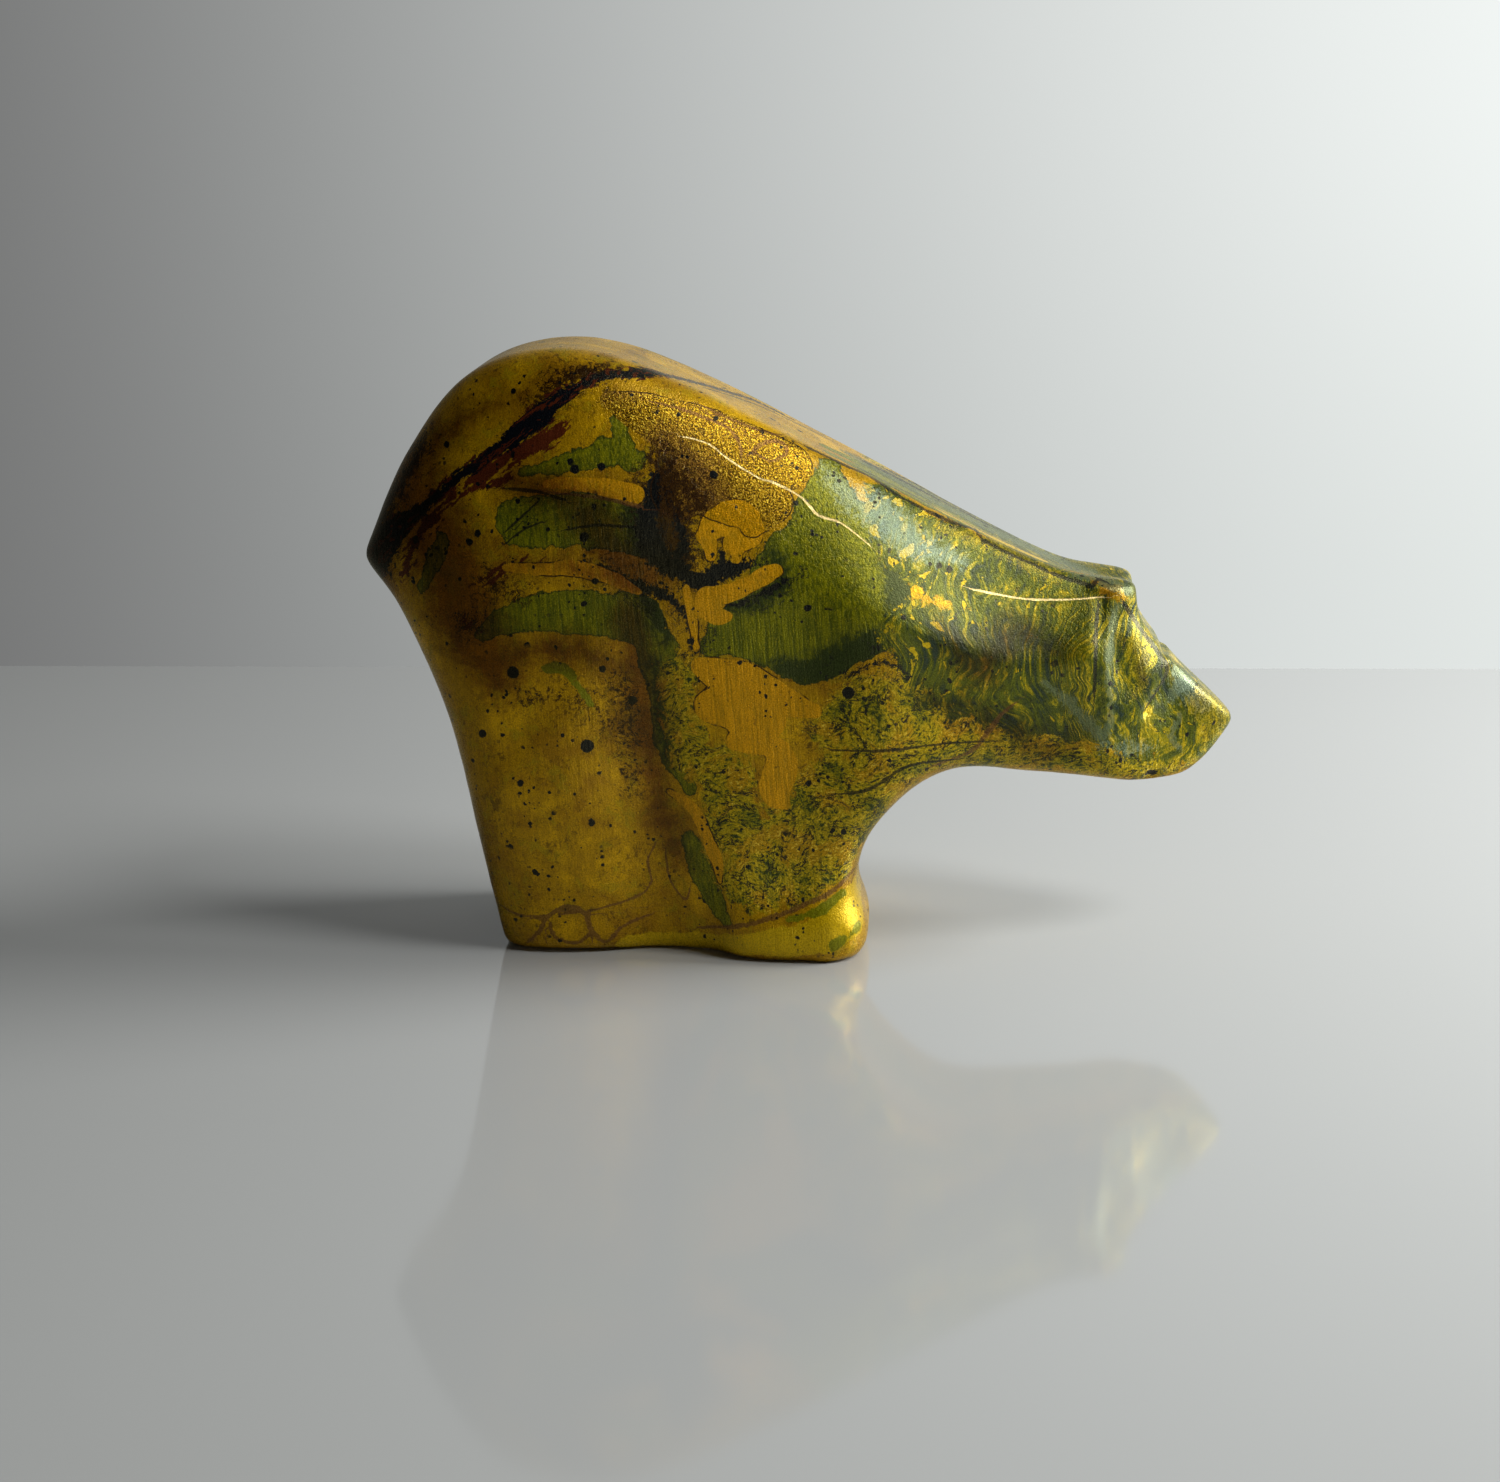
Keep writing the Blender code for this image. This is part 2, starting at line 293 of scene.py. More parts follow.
@dataclass
class Studio:
    """The camera at the photo's viewing angle, a pale glossy table and soft light.

    The light around changes from dim to bright, from behind to ahead, from low to upper and from
    the side to overhead, each between two values of that part of a direction.
    """

    camera_place: Point = (16.7 * MM, -375.3 * MM, 110.7 * MM)
    azimuth: float = 3.6
    elevation: float = 12.96
    roll: float = 0.6
    lens: float = 72.0
    sensor: float = 36.0
    table_reach: float = 165.0 * MM
    table_size: float = 4.0
    table_colour: Colour = (0.435, 0.445, 0.435, 1.0)
    table_roughness: float = 0.07
    table_refraction: float = 1.62
    lamp_aim: Point = (0.0, 0.0, 0.04)
    dim_side: Colour = (0.143, 0.143, 0.143, 1.0)
    bright_side: Colour = (0.84, 0.88, 0.86, 1.0)
    upper_bright_side: Colour = (0.98, 1.02, 1.0, 1.0)
    behind_camera: float = 0.05
    zenith: float = 0.32
    dim_to_bright: Range = (-0.42, 0.34)
    behind_to_ahead: Range = (-0.35, 0.75)
    low_to_upper: Range = (-0.20, 0.02)
    side_to_overhead: Range = (0.10, 0.65)

    def add_camera(self) -> None:
        """Makes the scene's camera."""
        around, up, tilt = np.radians([self.azimuth, self.elevation, self.roll])
        ahead = np.array([-np.sin(around) * np.cos(up), np.cos(around) * np.cos(up), -np.sin(up)])
        level = np.array([np.cos(around), np.sin(around), 0.0])
        right = np.cos(tilt) * level + np.sin(tilt) * np.cross(ahead, level)
        down = np.cross(ahead, right)
        bpy.ops.object.camera_add()
        camera = bpy.context.object
        camera.name = "camera"
        camera.data.lens = self.lens
        camera.data.sensor_width = self.sensor
        camera.data.clip_start = 10.0 * MM
        turned = Matrix((right, -down, -ahead)).transposed().to_4x4()
        camera.matrix_world = Matrix.Translation(self.camera_place) @ turned
        bpy.context.scene.camera = camera

    def add_table(self) -> None:
        """Makes the table's pale glossy top, which ends a little behind the bear."""
        middle = self.table_reach - self.table_size / 2
        bpy.ops.mesh.primitive_plane_add(size=self.table_size, location=(0.0, middle, 0.0))
        table = bpy.context.object
        table.name = "table"
        material = bpy.data.materials.new("pale_table")
        board = NodeBoard(material)
        shader = board.node("ShaderNodeBsdfPrincipled", {
            "Base Color": self.table_colour, "Roughness": self.table_roughness, "IOR": self.table_refraction})
        board.node("ShaderNodeOutputMaterial", {0: shader.outputs[0]})
        table.data.materials.append(material)

    def add_surroundings(self) -> None:
        """Makes the soft light around: bright on the right, dim on the left and behind the camera."""
        world = bpy.data.worlds.new("studio")
        bpy.context.scene.world = world
        board = NodeBoard(world)
        direction = board.node("ShaderNodeTexCoord", {}).outputs["Generated"]
        parts = board.node("ShaderNodeSeparateXYZ", {0: direction}).outputs
        across = board.step(parts[0], *self.dim_to_bright)
        ahead = board.step(parts[1], *self.behind_to_ahead)
        upper = board.step(parts[2], *self.low_to_upper)
        bright = board.mix(upper, self.bright_side, self.upper_bright_side)
        colour = board.mix(across, self.dim_side, bright)
        strength = board.math("MULTIPLY_ADD", ahead, 1.0 - self.behind_camera, self.behind_camera)
        above = board.step(parts[2], *self.side_to_overhead)
        overhead = board.math("MULTIPLY_ADD", above, self.zenith - 1.0, 1.0)
        strength = board.math("MULTIPLY", strength, overhead)
        background = board.node("ShaderNodeBackground", {0: colour, 1: strength})
        board.node("ShaderNodeOutputWorld", {0: background.outputs[0]})

    def add_light(self, lamp: Lamp) -> None:
        """Makes one soft light that points at the bear.

        Args:
            lamp: The light's name, place, size and power.
        """
        bpy.ops.object.light_add(type="AREA", location=lamp.place)
        light = bpy.context.object
        light.name = lamp.name
        light.data.shape = "DISK"
        light.data.size = lamp.size
        light.data.energy = lamp.power
        light.visible_camera = False
        aim = Vector(self.lamp_aim) - Vector(lamp.place)
        light.rotation_euler = aim.to_track_quat("-Z", "Y").to_euler()

    def build(self) -> None:
        """Builds the studio."""
        scene = bpy.context.scene
        scene.view_settings.view_transform = "Standard"
        self.add_camera()
        self.add_table()
        self.add_surroundings()
        for lamp in LAMPS:
            self.add_light(lamp)
        LOG.info("studio: camera %s", tuple(round(c, 4) for c in scene.camera.location))


def strokes_on(side: Side, layers: dict[Paint, dict[str, tuple[Point, ...]]]) -> tuple[Stroke, ...]:
    """The strokes of one side of the stone.

    Args:
        side: The side on which they are laid.
        layers: For each layer of paint, each stroke's points by the stroke's name.

    Returns:
        The strokes, in the order given.
    """
    return tuple(
        Stroke(name, paint, side, points)
        for paint, named in layers.items()
        for name, points in named.items()
    )


NEAR_PAINT = strokes_on(Side.NEAR, {
    # Painted shade: these strokes darken the paint where the stone lies in shade, on the haunch, rump, thigh,
    # tail, neck and throat and in the hollow between the legs.
    Paint.SHADE: {
        "haunch's glaze": ((-50, 62, 4.0), (-44, 52, 5.5), (-41, 44, 5.2), (-37, 37, 4.0)),
        "rump's glaze": (
            (-46, 63, 2.4), (-41, 67, 1.6), (-34, 70, 0.4), (-28, 73, -0.2), (-18, 74, -0.2)),
        "thigh's glaze": ((-38, 38, 2.0), (-30, 39.6, 2.0), (-22, 38, 2.0)),
        "throat's glaze": ((16, 34, 0.8), (24, 30, 1.6), (30, 26.4, 1.6), (35, 27, 0.0)),
        "neck's glaze": ((17, 43, 0.4), (22, 37, 2.4), (26, 40.6, 2.2), (32, 38, 0.6)),
        "leaf's glaze": ((-34, 60, 2.0), (-26, 57, 3.0), (-20, 50, 4.0), (-16, 50, 3.0)),
        "tail's glaze": ((-54, 49, 6.0), (-52, 56, 4.0)),
        "hollow's glaze": ((-20, 44, 3.0), (-19, 34, 3.4), (-18, 24, 2.6), (-15, 12, 1.6)),
        "strip's shade": ((-36, 50, -0.4), (-28, 50, 0.4), (-20, 48, 1.4)),
    },
    Paint.MOSS: {
        "upper leaf": (
            (-33, 61.3, 0.5), (-28.5, 62.3, 1.1), (-25, 63, 1.6), (-22, 63.8, 1.8), (-19.5, 62.5, 1.3)),
        "leaf stalk": ((-22, 68, 0.6), (-21.4, 66.3, 1.1), (-20.6, 64.5, 1.2)),
        "haunch leaf": (
            (-35.5, 56.5, 0.9), (-33.5, 55.3, 3.0), (-28.5, 55.5, 3.2), (-23.7, 55.6, 3.4),
            (-19, 54.5, 3.3)),
        "haunch band": (
            (-39, 41.2, 0.8), (-35, 43.4, 1.9), (-30, 44.4, 2.6), (-24, 44.3, 2.8), (-19, 43.5, 3.2)),
        "hollow between the legs": (
            (-17, 40, 2.6), (-16.3, 33.5, 1.9), (-16, 27, 1.4), (-13.3, 22, 0.9)),
        "foot of the hollow": ((-13.3, 15, 1.2), (-12, 11, 1.9), (-10.5, 7.5, 1.7), (-9, 5, 0.9)),
        "shoulder": (
            (4, 61, 1.5), (4, 55, 4.8), (6.5, 50.5, 7.0), (1, 49, 6.0), (0.5, 44.5, 6.8), (8, 46, 6.2)),
        "shoulder's back": ((-9.5, 42, 1.5), (-6.8, 43.4, 3.4), (-1, 44, 5.0)),
        "shoulder's hem": (
            (-10.5, 40.4, 1.5), (-6, 40.5, 1.8), (-2, 39, 2.4), (2, 38.3, 2.8), (6, 40.5, 2.6),
            (10, 42, 2.6)),
        "tail's edge": ((-46.5, 46.5, 0.9), (-44.8, 49.5, 1.3), (-43.5, 53, 0.9)),
    },
    Paint.AMBER: {
        "tongue": ((-30.3, 59.8, 0.4), (-27, 60.0, 0.8), (-23, 59.5, 1.1), (-19.6, 58.5, 1.3)),
        "drop": (
            (-11, 53.6, 1.2), (-9.4, 55.2, 1.9), (-6.9, 55.4, 2.4), (-5.6, 53.6, 1.6), (-7.6, 52.6, 1.4)),
        "drop's back lobe": ((-10.5, 52.6, 1.0), (-10.3, 51.2, 0.7)),
        "drop's front lobe": ((-7.1, 52.2, 1.0), (-7.2, 50.9, 0.7)),
        "finger": ((-10.9, 46.2, 1.2), (-7, 47.1, 1.1), (-3.4, 49, 1.0), (-2.3, 49.3, 0.8)),
        "finger's root": ((-11, 45.2, 1.4), (-9.6, 43.9, 1.1), (-8.2, 43.8, 0.6)),
        "finger's bridge": ((-13.4, 47.4, 0.5), (-12.6, 44, 0.6), (-12.2, 40, 0.5)),
        "haunch strip": (
            (-35.4, 49.8, 0.5), (-31, 49.6, 0.8), (-26, 49.7, 1.0), (-22, 48.4, 0.8), (-19, 46.8, 0.3)),
        "elbow": (
            (-11.7, 37.6, 1.1), (-9.3, 36.6, 2.2), (-5.7, 35.4, 2.6), (-1.4, 33.3, 1.8), (2.2, 32.3, 0.9)),
        "upper arm": ((-10.5, 32.7, 2.2), (-6.9, 32, 2.6), (-3.3, 30.8, 2.0)),
        "forearm": (
            (-7.4, 28.4, 1.3), (-2.6, 27.5, 1.4), (-2, 25.2, 2.0), (-2.7, 22.1, 1.9), (-1.4, 20.2, 0.6)),
        "web": (
            (-15.9, 21.5, 0.5), (-12.9, 19.4, 0.8), (-11.6, 16.5, 0.8), (-10.2, 12.8, 0.9),
            (-9.8, 10, 0.4)),
    },
    Paint.LEMON: {
        "paw": (
            (7.4, 9, 1.6), (6, 6, 2.8), (2, 3.6, 2.4), (-3, 2.6, 1.8), (-7, 2.2, 1.4), (-13, 1.2, 1.4),
            (-22, 1, 1.2)),
    },
    Paint.FLECK: {
        "nape's patch": ((17, 53.4, 0.5), (22, 51.6, 1.2), (27, 49.8, 1.5), (32, 48, 1.2)),
        "nose": ((50.4, 31.6, 1.4), (53, 29.6, 2.2), (51.4, 26.8, 1.6)),
        "cheek's gold": ((39.8, 39.6, 0.6), (42, 37.4, 1.4), (42.4, 34.4, 1.2), (41.2, 32, 0.4)),
    },
    Paint.LEAF: {
        "thigh squiggle": ((-31, 37.4, 0.4), (-28.5, 37.3, 0.7), (-26.5, 35, 0.6), (-25.2, 33, 0.4)),
        "toe": ((4.5, 2.6, 0.8), (7.4, 4.6, 0.5)),
        "base of the leg": ((5.6, 8.8, 0.5), (2.6, 6.8, 0.7), (-1, 5.6, 0.4)),
    },
    Paint.GILT: {
        "gilded haunch": (
            (-22.6, 69.6, 1.2), (-18, 67.8, 2.8), (-12, 65.3, 4.0), (-6, 62.8, 4.2), (-1.3, 61.4, 3.2)),
        "gilded flank": (
            (-14, 59, 3.6), (-12, 60, 3.6), (-7, 57.8, 3.6), (-3, 57.4, 2.6), (-5.4, 55, 1.8)),
    },
    Paint.UMBER: {
        "brown heart": ((-16, 62, 2.0), (-16, 58, 3.0), (-15.4, 53.8, 3.2), (-13.6, 50.8, 1.8)),
        "brown heart's rim": ((-13.4, 60.4, 1.4), (-12, 57.4, 1.6)),
        "maroon blot": ((-38, 48.6, -0.4), (-36.4, 47.2, -0.2), (-33.6, 46.6, -0.6)),
        "lower blot": ((-41, 42.6, 0.0), (-39.6, 42.4, 0.3), (-38.6, 45.2, -0.6)),
        "thigh smudge": ((-21.5, 36, 0.2), (-20.6, 31, 0.7), (-20.8, 27, 0.2), (-20.4, 22, -0.4)),
        "thigh's crumbs": ((-33, 33, -1.2), (-27, 34, -0.8), (-23, 31, -0.4)),
        "tail streak": ((-53, 52, 3.4), (-51, 57, 2.2), (-48, 60.7, 1.3), (-46, 64.4, 0.7)),
        "crest's core": ((-31, 69.6, 0.6), (-28.4, 71.5, 1.3), (-25.2, 72.8, 1.2), (-21.6, 72.8, 0.6)),
    },
    Paint.MAROON: {
        "blot's strand": ((-39.6, 47.4, 0.2), (-36.8, 48.6, 0.5), (-34, 50.4, 0.3), (-31, 50.9, 0.2)),
        "lower blot's heart": ((-40.8, 42.8, 0.4), (-39.8, 42.2, 0.5)),
        "upper strand": (
            (-43.8, 58, 0.6), (-39.8, 60.1, 0.9), (-36, 62.4, 1.1), (-32.2, 64.4, 1.3), (-28.6, 66.4, 1.0)),
        "lower strand": ((-46, 54.8, 0.5), (-42.4, 57.6, 0.7), (-38.5, 59.2, 0.7), (-34.7, 60.6, 0.4)),
        "tail strand": ((-49, 48, 0.6), (-46.5, 53, 0.7), (-43.8, 56, 0.4)),
    },
    Paint.VEIN: {
        "tail vein": (
            (-54, 48.6, 3.0), (-52.5, 50.5, 2.8), (-50.5, 52.7, 2.0), (-47.8, 55.1, 1.3), (-45, 57.1, 0.9)),
        "haunch vein": (
            (-45, 57.1, 0.9), (-41.8, 60, 0.8), (-36, 64.1, 1.0), (-33.5, 65.9, 1.4), (-30.4, 68.3, 1.5)),
        "crest's back vein": (
            (-30.4, 68.3, 1.5), (-28, 70.3, 1.1), (-25.2, 71.8, 0.8), (-22.6, 72.5, 0.8), (-18, 72.5, 0.9)),
    },
    Paint.NAVY: {
        "navy pool": (
            (-13.4, 47.8, 0.7), (-11.1, 48.3, 1.1), (-9, 49.2, 1.1), (-6.6, 50, 0.8), (-5.4, 50.5, 0.4)),
        "pool's notch": ((-9, 50, 0.7), (-8.8, 51.6, 0.4)),
        "pool's tail": (
            (-23.7, 50.4, 0.3), (-22, 48.8, 0.5), (-18.9, 47.4, 0.7), (-15.3, 46.1, 0.7),
            (-12.9, 43.8, 0.5)),
        "pool's end": ((-12.9, 43.8, 0.5), (-12, 41.4, 0.4), (-12, 39.6, 0.3)),
        "dark heart": (
            (-17.2, 61, 0.5), (-17.8, 57, 1.1), (-18, 53.6, 1.5), (-16.4, 51, 1.6), (-14, 49.4, 1.2),
            (-12.6, 48.4, 0.8)),
        "heart's tatters": ((-14.8, 56, 0.2), (-13.6, 53, 0.6), (-14.4, 50.6, 0.6)),
        "finger's shadow": ((-8, 45.4, 0.2), (-5.6, 45.9, 0.35), (-3, 47.2, 0.3), (-1, 48.4, 0.3)),
        "hem's tatters": ((5, 36.6, 0.1), (8, 37.4, 0.3), (11, 38.4, 0.4), (13.6, 36.6, 0.2)),
    },
    # Darker green: partly the paint's own dark green, partly painted shade under the shoulder, under the
    # finger and down the hollow.
    Paint.DUSK: {
        "shoulder's dark hem": (
            (-3.9, 38, 0.6), (-0.8, 37.2, 1.6), (2.8, 37.4, 2.4), (6.1, 39, 2.2), (10, 40.6, 2.4),
            (12.8, 40, 2.0)),
        "shoulder's neck edge": ((11, 50, 1.4), (12.6, 46, 2.2), (13, 42, 2.0)),
        "under the finger": ((-8.4, 45, 0.8), (-5, 45.8, 1.2), (-1.6, 48, 1.2), (-3, 51.6, 1.0)),
        "leaf's dark end": ((-20, 57.6, 1.6), (-18, 53.4, 2.6), (-17.6, 47, 2.0), (-16, 42, 1.6)),
        "hollow's dusk": ((-17, 38, 1.0), (-16.4, 32, 1.2), (-16, 26, 1.0)),
        "knee's stain": ((-20, 38, 0.6), (-19, 32, 1.0), (-18.6, 26, 0.6)),
    },
    Paint.DROP: {
        "thigh drop": ((-34.8, 36.8, 0.8),),
        "knee drop": ((-25.8, 27.7, 0.85),),
        "shin drop": ((-25.5, 17.8, 0.5),),
        "hip drop": ((-38.9, 53.7, 0.5),),
        "belly drop": ((-20.1, 33.3, 0.6),),
        "groin drop": ((-23.7, 37.4, 0.5),),
        "rump drop": ((-38.9, 28.9, 0.6),),
        "calf drop": ((-34.2, 22.9, 0.45),),
        "leaf drop": ((-25.6, 53.6, 0.6),),
        "arm drop": ((6.3, 34.6, 0.8),),
        "jaw's pit": ((43.4, 22.2, 0.5), (44.4, 22, 0.4)),
    },
    Paint.MOTTLE: {
        "front leg": ((-9, 24, 3.2), (-6, 12, 5.0), (2, 16, 6.5), (9, 24, 6.0), (14, 30, 5.5)),
        "throat": ((16, 29, 5.0), (26, 26, 4.0), (33, 26, 3.0)),
        "beside the hollow": ((-14.6, 37, 2.4), (-13.6, 31, 2.6), (-13, 26, 2.6)),
        "under the shoulder": ((5, 30, 3.4), (9, 34, 3.4), (15, 35, 4.0)),
        "jaw": ((33, 25, 2.0), (40, 23.4, 2.4), (48, 23.4, 2.0)),
    },
    Paint.SWIRL: {
        "neck": (
            (14, 42, 4.0), (20, 38, 6.5), (29, 37, 9.0), (37, 36, 9.5), (46, 31, 8.0), (53, 29, 5.5)),
        "neck's chamfer": ((11, 57, 2.6), (14, 52, 5.0), (22, 48, 5.5), (32, 44, 5.5)),
    },
    # Painted highlight: a pale grey-green sheen where the chamfer, the muzzle and the jaw catch the light.
    Paint.PALE: {
        "chamfer's wash": (
            (3.4, 60.8, 1.2), (6.6, 57.6, 2.4), (10.4, 55, 3.2), (14.6, 51.6, 2.8), (20, 49.4, 1.4)),
        "muzzle's sheen": ((46.8, 34.6, 0.8), (48.2, 32.4, 2.2), (50, 30.2, 1.4)),
        "jaw's sheen": ((37, 26.4, 0.4), (40.4, 25.8, 1.0), (44, 25.2, 0.6)),
    },
    # Painted reflection on the muzzle's facet and the ear; grey-green paint on the cheek's swoosh, under the
    # brow and on the beard.
    Paint.SLATE: {
        "muzzle's facet": ((46.8, 34.4, 0.9), (48.6, 33.4, 1.4), (46.4, 31.4, 0.9)),
        "ear's wash": ((34, 46.8, 0.6), (37, 46.4, 1.2), (40, 45.4, 1.2)),
        "cheek's swoosh": (
            (30, 35, 0.2), (34, 31.4, 0.7), (37.4, 27.6, 0.8), (38.6, 30.6, 0.5), (38.2, 34, 0.4),
            (37.6, 40, 0.4)),
        "under the brow": ((39.4, 43.4, 0.5), (38.6, 41, 0.6), (38.4, 37, 0.4)),
        "beard": ((47.6, 29, 0.4), (46.4, 26.6, 0.5), (47.6, 24.6, 0.4)),
    },
    Paint.INK: {
        "crease": ((37, 43.6, 0.2), (36.6, 40.6, 0.28), (36.5, 37, 0.26), (36.4, 33, 0.2)),
        "brow's edge": (
            (40.2, 43.4, 0.3), (42, 40.6, 0.35), (44.2, 37.6, 0.35), (45.8, 35, 0.4), (44.6, 32.6, 0.3),
            (43, 30.4, 0.15)),
        "leaf's rib": ((-28, 54.4, 0.1), (-24, 55, 0.16), (-19.5, 54.7, 0.16)),
        "leaf's fan": ((-35.4, 54, 0.1), (-33.6, 55.6, 0.12), (-31, 58, 0.1)),
        "leaf's lower fan": ((-35.4, 52.6, 0.1), (-33, 54.4, 0.12), (-30.6, 55.4, 0.1)),
        "leaf's tip": ((-34.6, 59.2, 0.2), (-31, 58.9, 0.2), (-28, 58, 0.15)),
        "back of the throat": ((4, 27.4, 0.1), (10, 27.4, 0.16), (17, 27.9, 0.16), (24, 27.7, 0.1)),
        "throat's crack": ((5, 21.8, 0.1), (9, 22.6, 0.2), (13.6, 25.4, 0.2), (20, 25.6, 0.12)),
        "ridge line": (
            (1.2, 63.2, 0.3), (5, 61.3, 0.4), (9, 59.3, 0.35), (12.6, 57, 0.3), (17.4, 54.4, 0.35),
            (23, 52, 0.3)),
        "ridge line's end": ((23, 52, 0.3), (28, 49.8, 0.25), (34, 47.4, 0.3), (38, 46, 0.2)),
    },
    Paint.THREAD: {
        "base line": (
            (6.8, 11.2, 0.3), (4, 9, 0.34), (0, 7.1, 0.3), (-3.5, 5.8, 0.3), (-7.3, 4.6, 0.26),
            (-12.6, 3.3, 0.16)),
        "foot's loop": (
            (-34.4, 1.2, 0.2), (-32.8, 3.0, 0.3), (-31.6, 5.0, 0.3), (-29.2, 6.4, 0.26), (-27, 5.6, 0.3),
            (-26.2, 3.0, 0.3)),
        "foot's second loop": (
            (-26.2, 3.0, 0.3), (-28, 1.4, 0.24), (-30.8, 2.2, 0.26), (-31.6, 4.4, 0.22),
            (-33.8, 4.8, 0.16)),
        "foot's line": ((-26.2, 3.0, 0.3), (-24.4, 1.4, 0.3), (-22.4, 3.4, 0.26), (-19, 4.8, 0.14)),
        "heel's line": (
            (-38, 5.8, 0.1), (-35, 4.9, 0.16), (-30, 5.4, 0.12), (-25, 6.1, 0.14), (-20, 7.6, 0.2),
            (-18.5, 9.5, 0.16)),
        "shin's line": ((-18.5, 9.5, 0.16), (-18.9, 12.3, 0.16), (-17.8, 14.6, 0.1)),
        "web's line": ((-16.7, 13.7, 0.1), (-16.2, 9.6, 0.14), (-14.4, 7, 0.14), (-13.7, 8.6, 0.1)),
        "upper curl": (
            (-18, 69.4, 0.1), (-14.2, 68.4, 0.2), (-10.6, 67, 0.2), (-8.2, 65.8, 0.26), (-7, 64, 0.24),
            (-6.8, 62.4, 0.12)),
        "outer curl": ((-12, 68.8, 0.1), (-8, 66.9, 0.2), (-4.6, 65.5, 0.16), (-2, 64.8, 0.1)),
        "loop": (
            (-6, 62.8, 0.14), (-3.9, 64.2, 0.24), (-1.9, 64, 0.24), (-1.4, 62.8, 0.2), (-3.2, 62, 0.2),
            (-4.9, 62.8, 0.12)),
        "tongue's line": ((-30, 58.9, 0.12), (-24, 58.3, 0.2), (-19, 57.2, 0.24)),
        "throat vein": (
            (26.6, 32.3, 0.12), (24.6, 30.6, 0.3), (22.6, 28, 0.34), (21, 26.4, 0.3), (16.5, 25, 0.16)),
    },
    Paint.SCRATCH: {
        "long scratch": (
            (-13.6, 65.2, 0.08), (-10.6, 64.2, 0.1), (-8, 62.2, 0.13), (-4.4, 60, 0.09), (-3, 59.6, 0.14),
            (0.4, 57.8, 0.1), (2.6, 55.6, 0.13), (5.4, 54.6, 0.11), (8.8, 52, 0.08)),
        "neck's scratch": (
            (21, 46.2, 0.08), (24, 45.4, 0.14), (28, 44.5, 0.12), (33, 44.2, 0.13), (37.6, 44.4, 0.09)),
    },
})
TOP_PAINT = strokes_on(Side.TOP, {
    Paint.VEIN: {
        "crest vein": (
            (-20, -10.6, 0.9), (-16, -7.6, 0.9), (-12, -2, 0.8), (-6.6, 5.6, 0.7), (-2, 6.4, 0.5)),
    },
    Paint.INK: {
        "crest's twin vein": ((-12, -4.6, 0.2), (-6, 3, 0.3), (0, 5, 0.25), (4, 5, 0.12)),
        "nape's line": (
            (5, -6.6, 0.2), (12, -5.6, 0.3), (20, -4.4, 0.3), (28, -3.4, 0.25), (36, -2.4, 0.2)),
    },
    Paint.NAVY: {
        "nape's blue": ((7, 1.4, 0.3), (11, 2.2, 0.8), (15, 2.8, 0.7), (20, 3.8, 0.5), (26, 4.4, 0.2)),
        "nape's second blue": ((9, 4.6, 0.2), (13, 5.4, 0.7), (18, 5.8, 0.6), (23, 6, 0.2)),
    },
    Paint.LEMON: {
        "nape's gold": ((17, -5, 0.8), (24, -4.5, 1.2), (30, -4, 1.0)),
    },
    # Painted reflection: a grey-green sheen along the top of the nape.
    Paint.SLATE: {
        "nape's wash": ((6, 1, 1.4), (12, 1.4, 3.0), (20, 2, 3.4), (28, 2, 2.6), (36, 1, 1.4)),
    },
    Paint.SWIRL: {
        "nape's swirl": ((16, 0, 1.6), (24, 1, 4.0), (32, 1, 4.6), (38, 0, 4.0)),
        "face": ((41, 0, 7.0), (47, 0, 5.0), (53, 0, 2.0)),
    },
    Paint.MOSS: {
        "nape's leaf": ((-8, 9, 0.8), (-3, 10, 1.6), (3, 9, 1.2)),
        "nape's moss": ((3, -2.6, 0.8), (8, -2, 2.4), (14, -1.6, 3.0), (20, -1, 2.4)),
        "nape's near edge": (
            (4, -6.4, 1.0), (10, -5.6, 2.2), (18, -4.6, 2.4), (28, -3.8, 2.2), (37, -2.6, 1.4)),
    },
    Paint.DUSK: {
        "nape's dusk": ((8, -1, 0.6), (13, -1, 1.6), (19, -1, 1.4)),
    },
    Paint.GILT: {
        "crown's gold": ((-20, 8, 1.0), (-15, 10, 2.0), (-9, 11, 2.4), (-3, 11.4, 1.4)),
    },
    Paint.MOTTLE: {
        "nape's mottle": ((10, 6, 2.4), (20, 6, 3.4), (32, 5, 3.0)),
    },
})
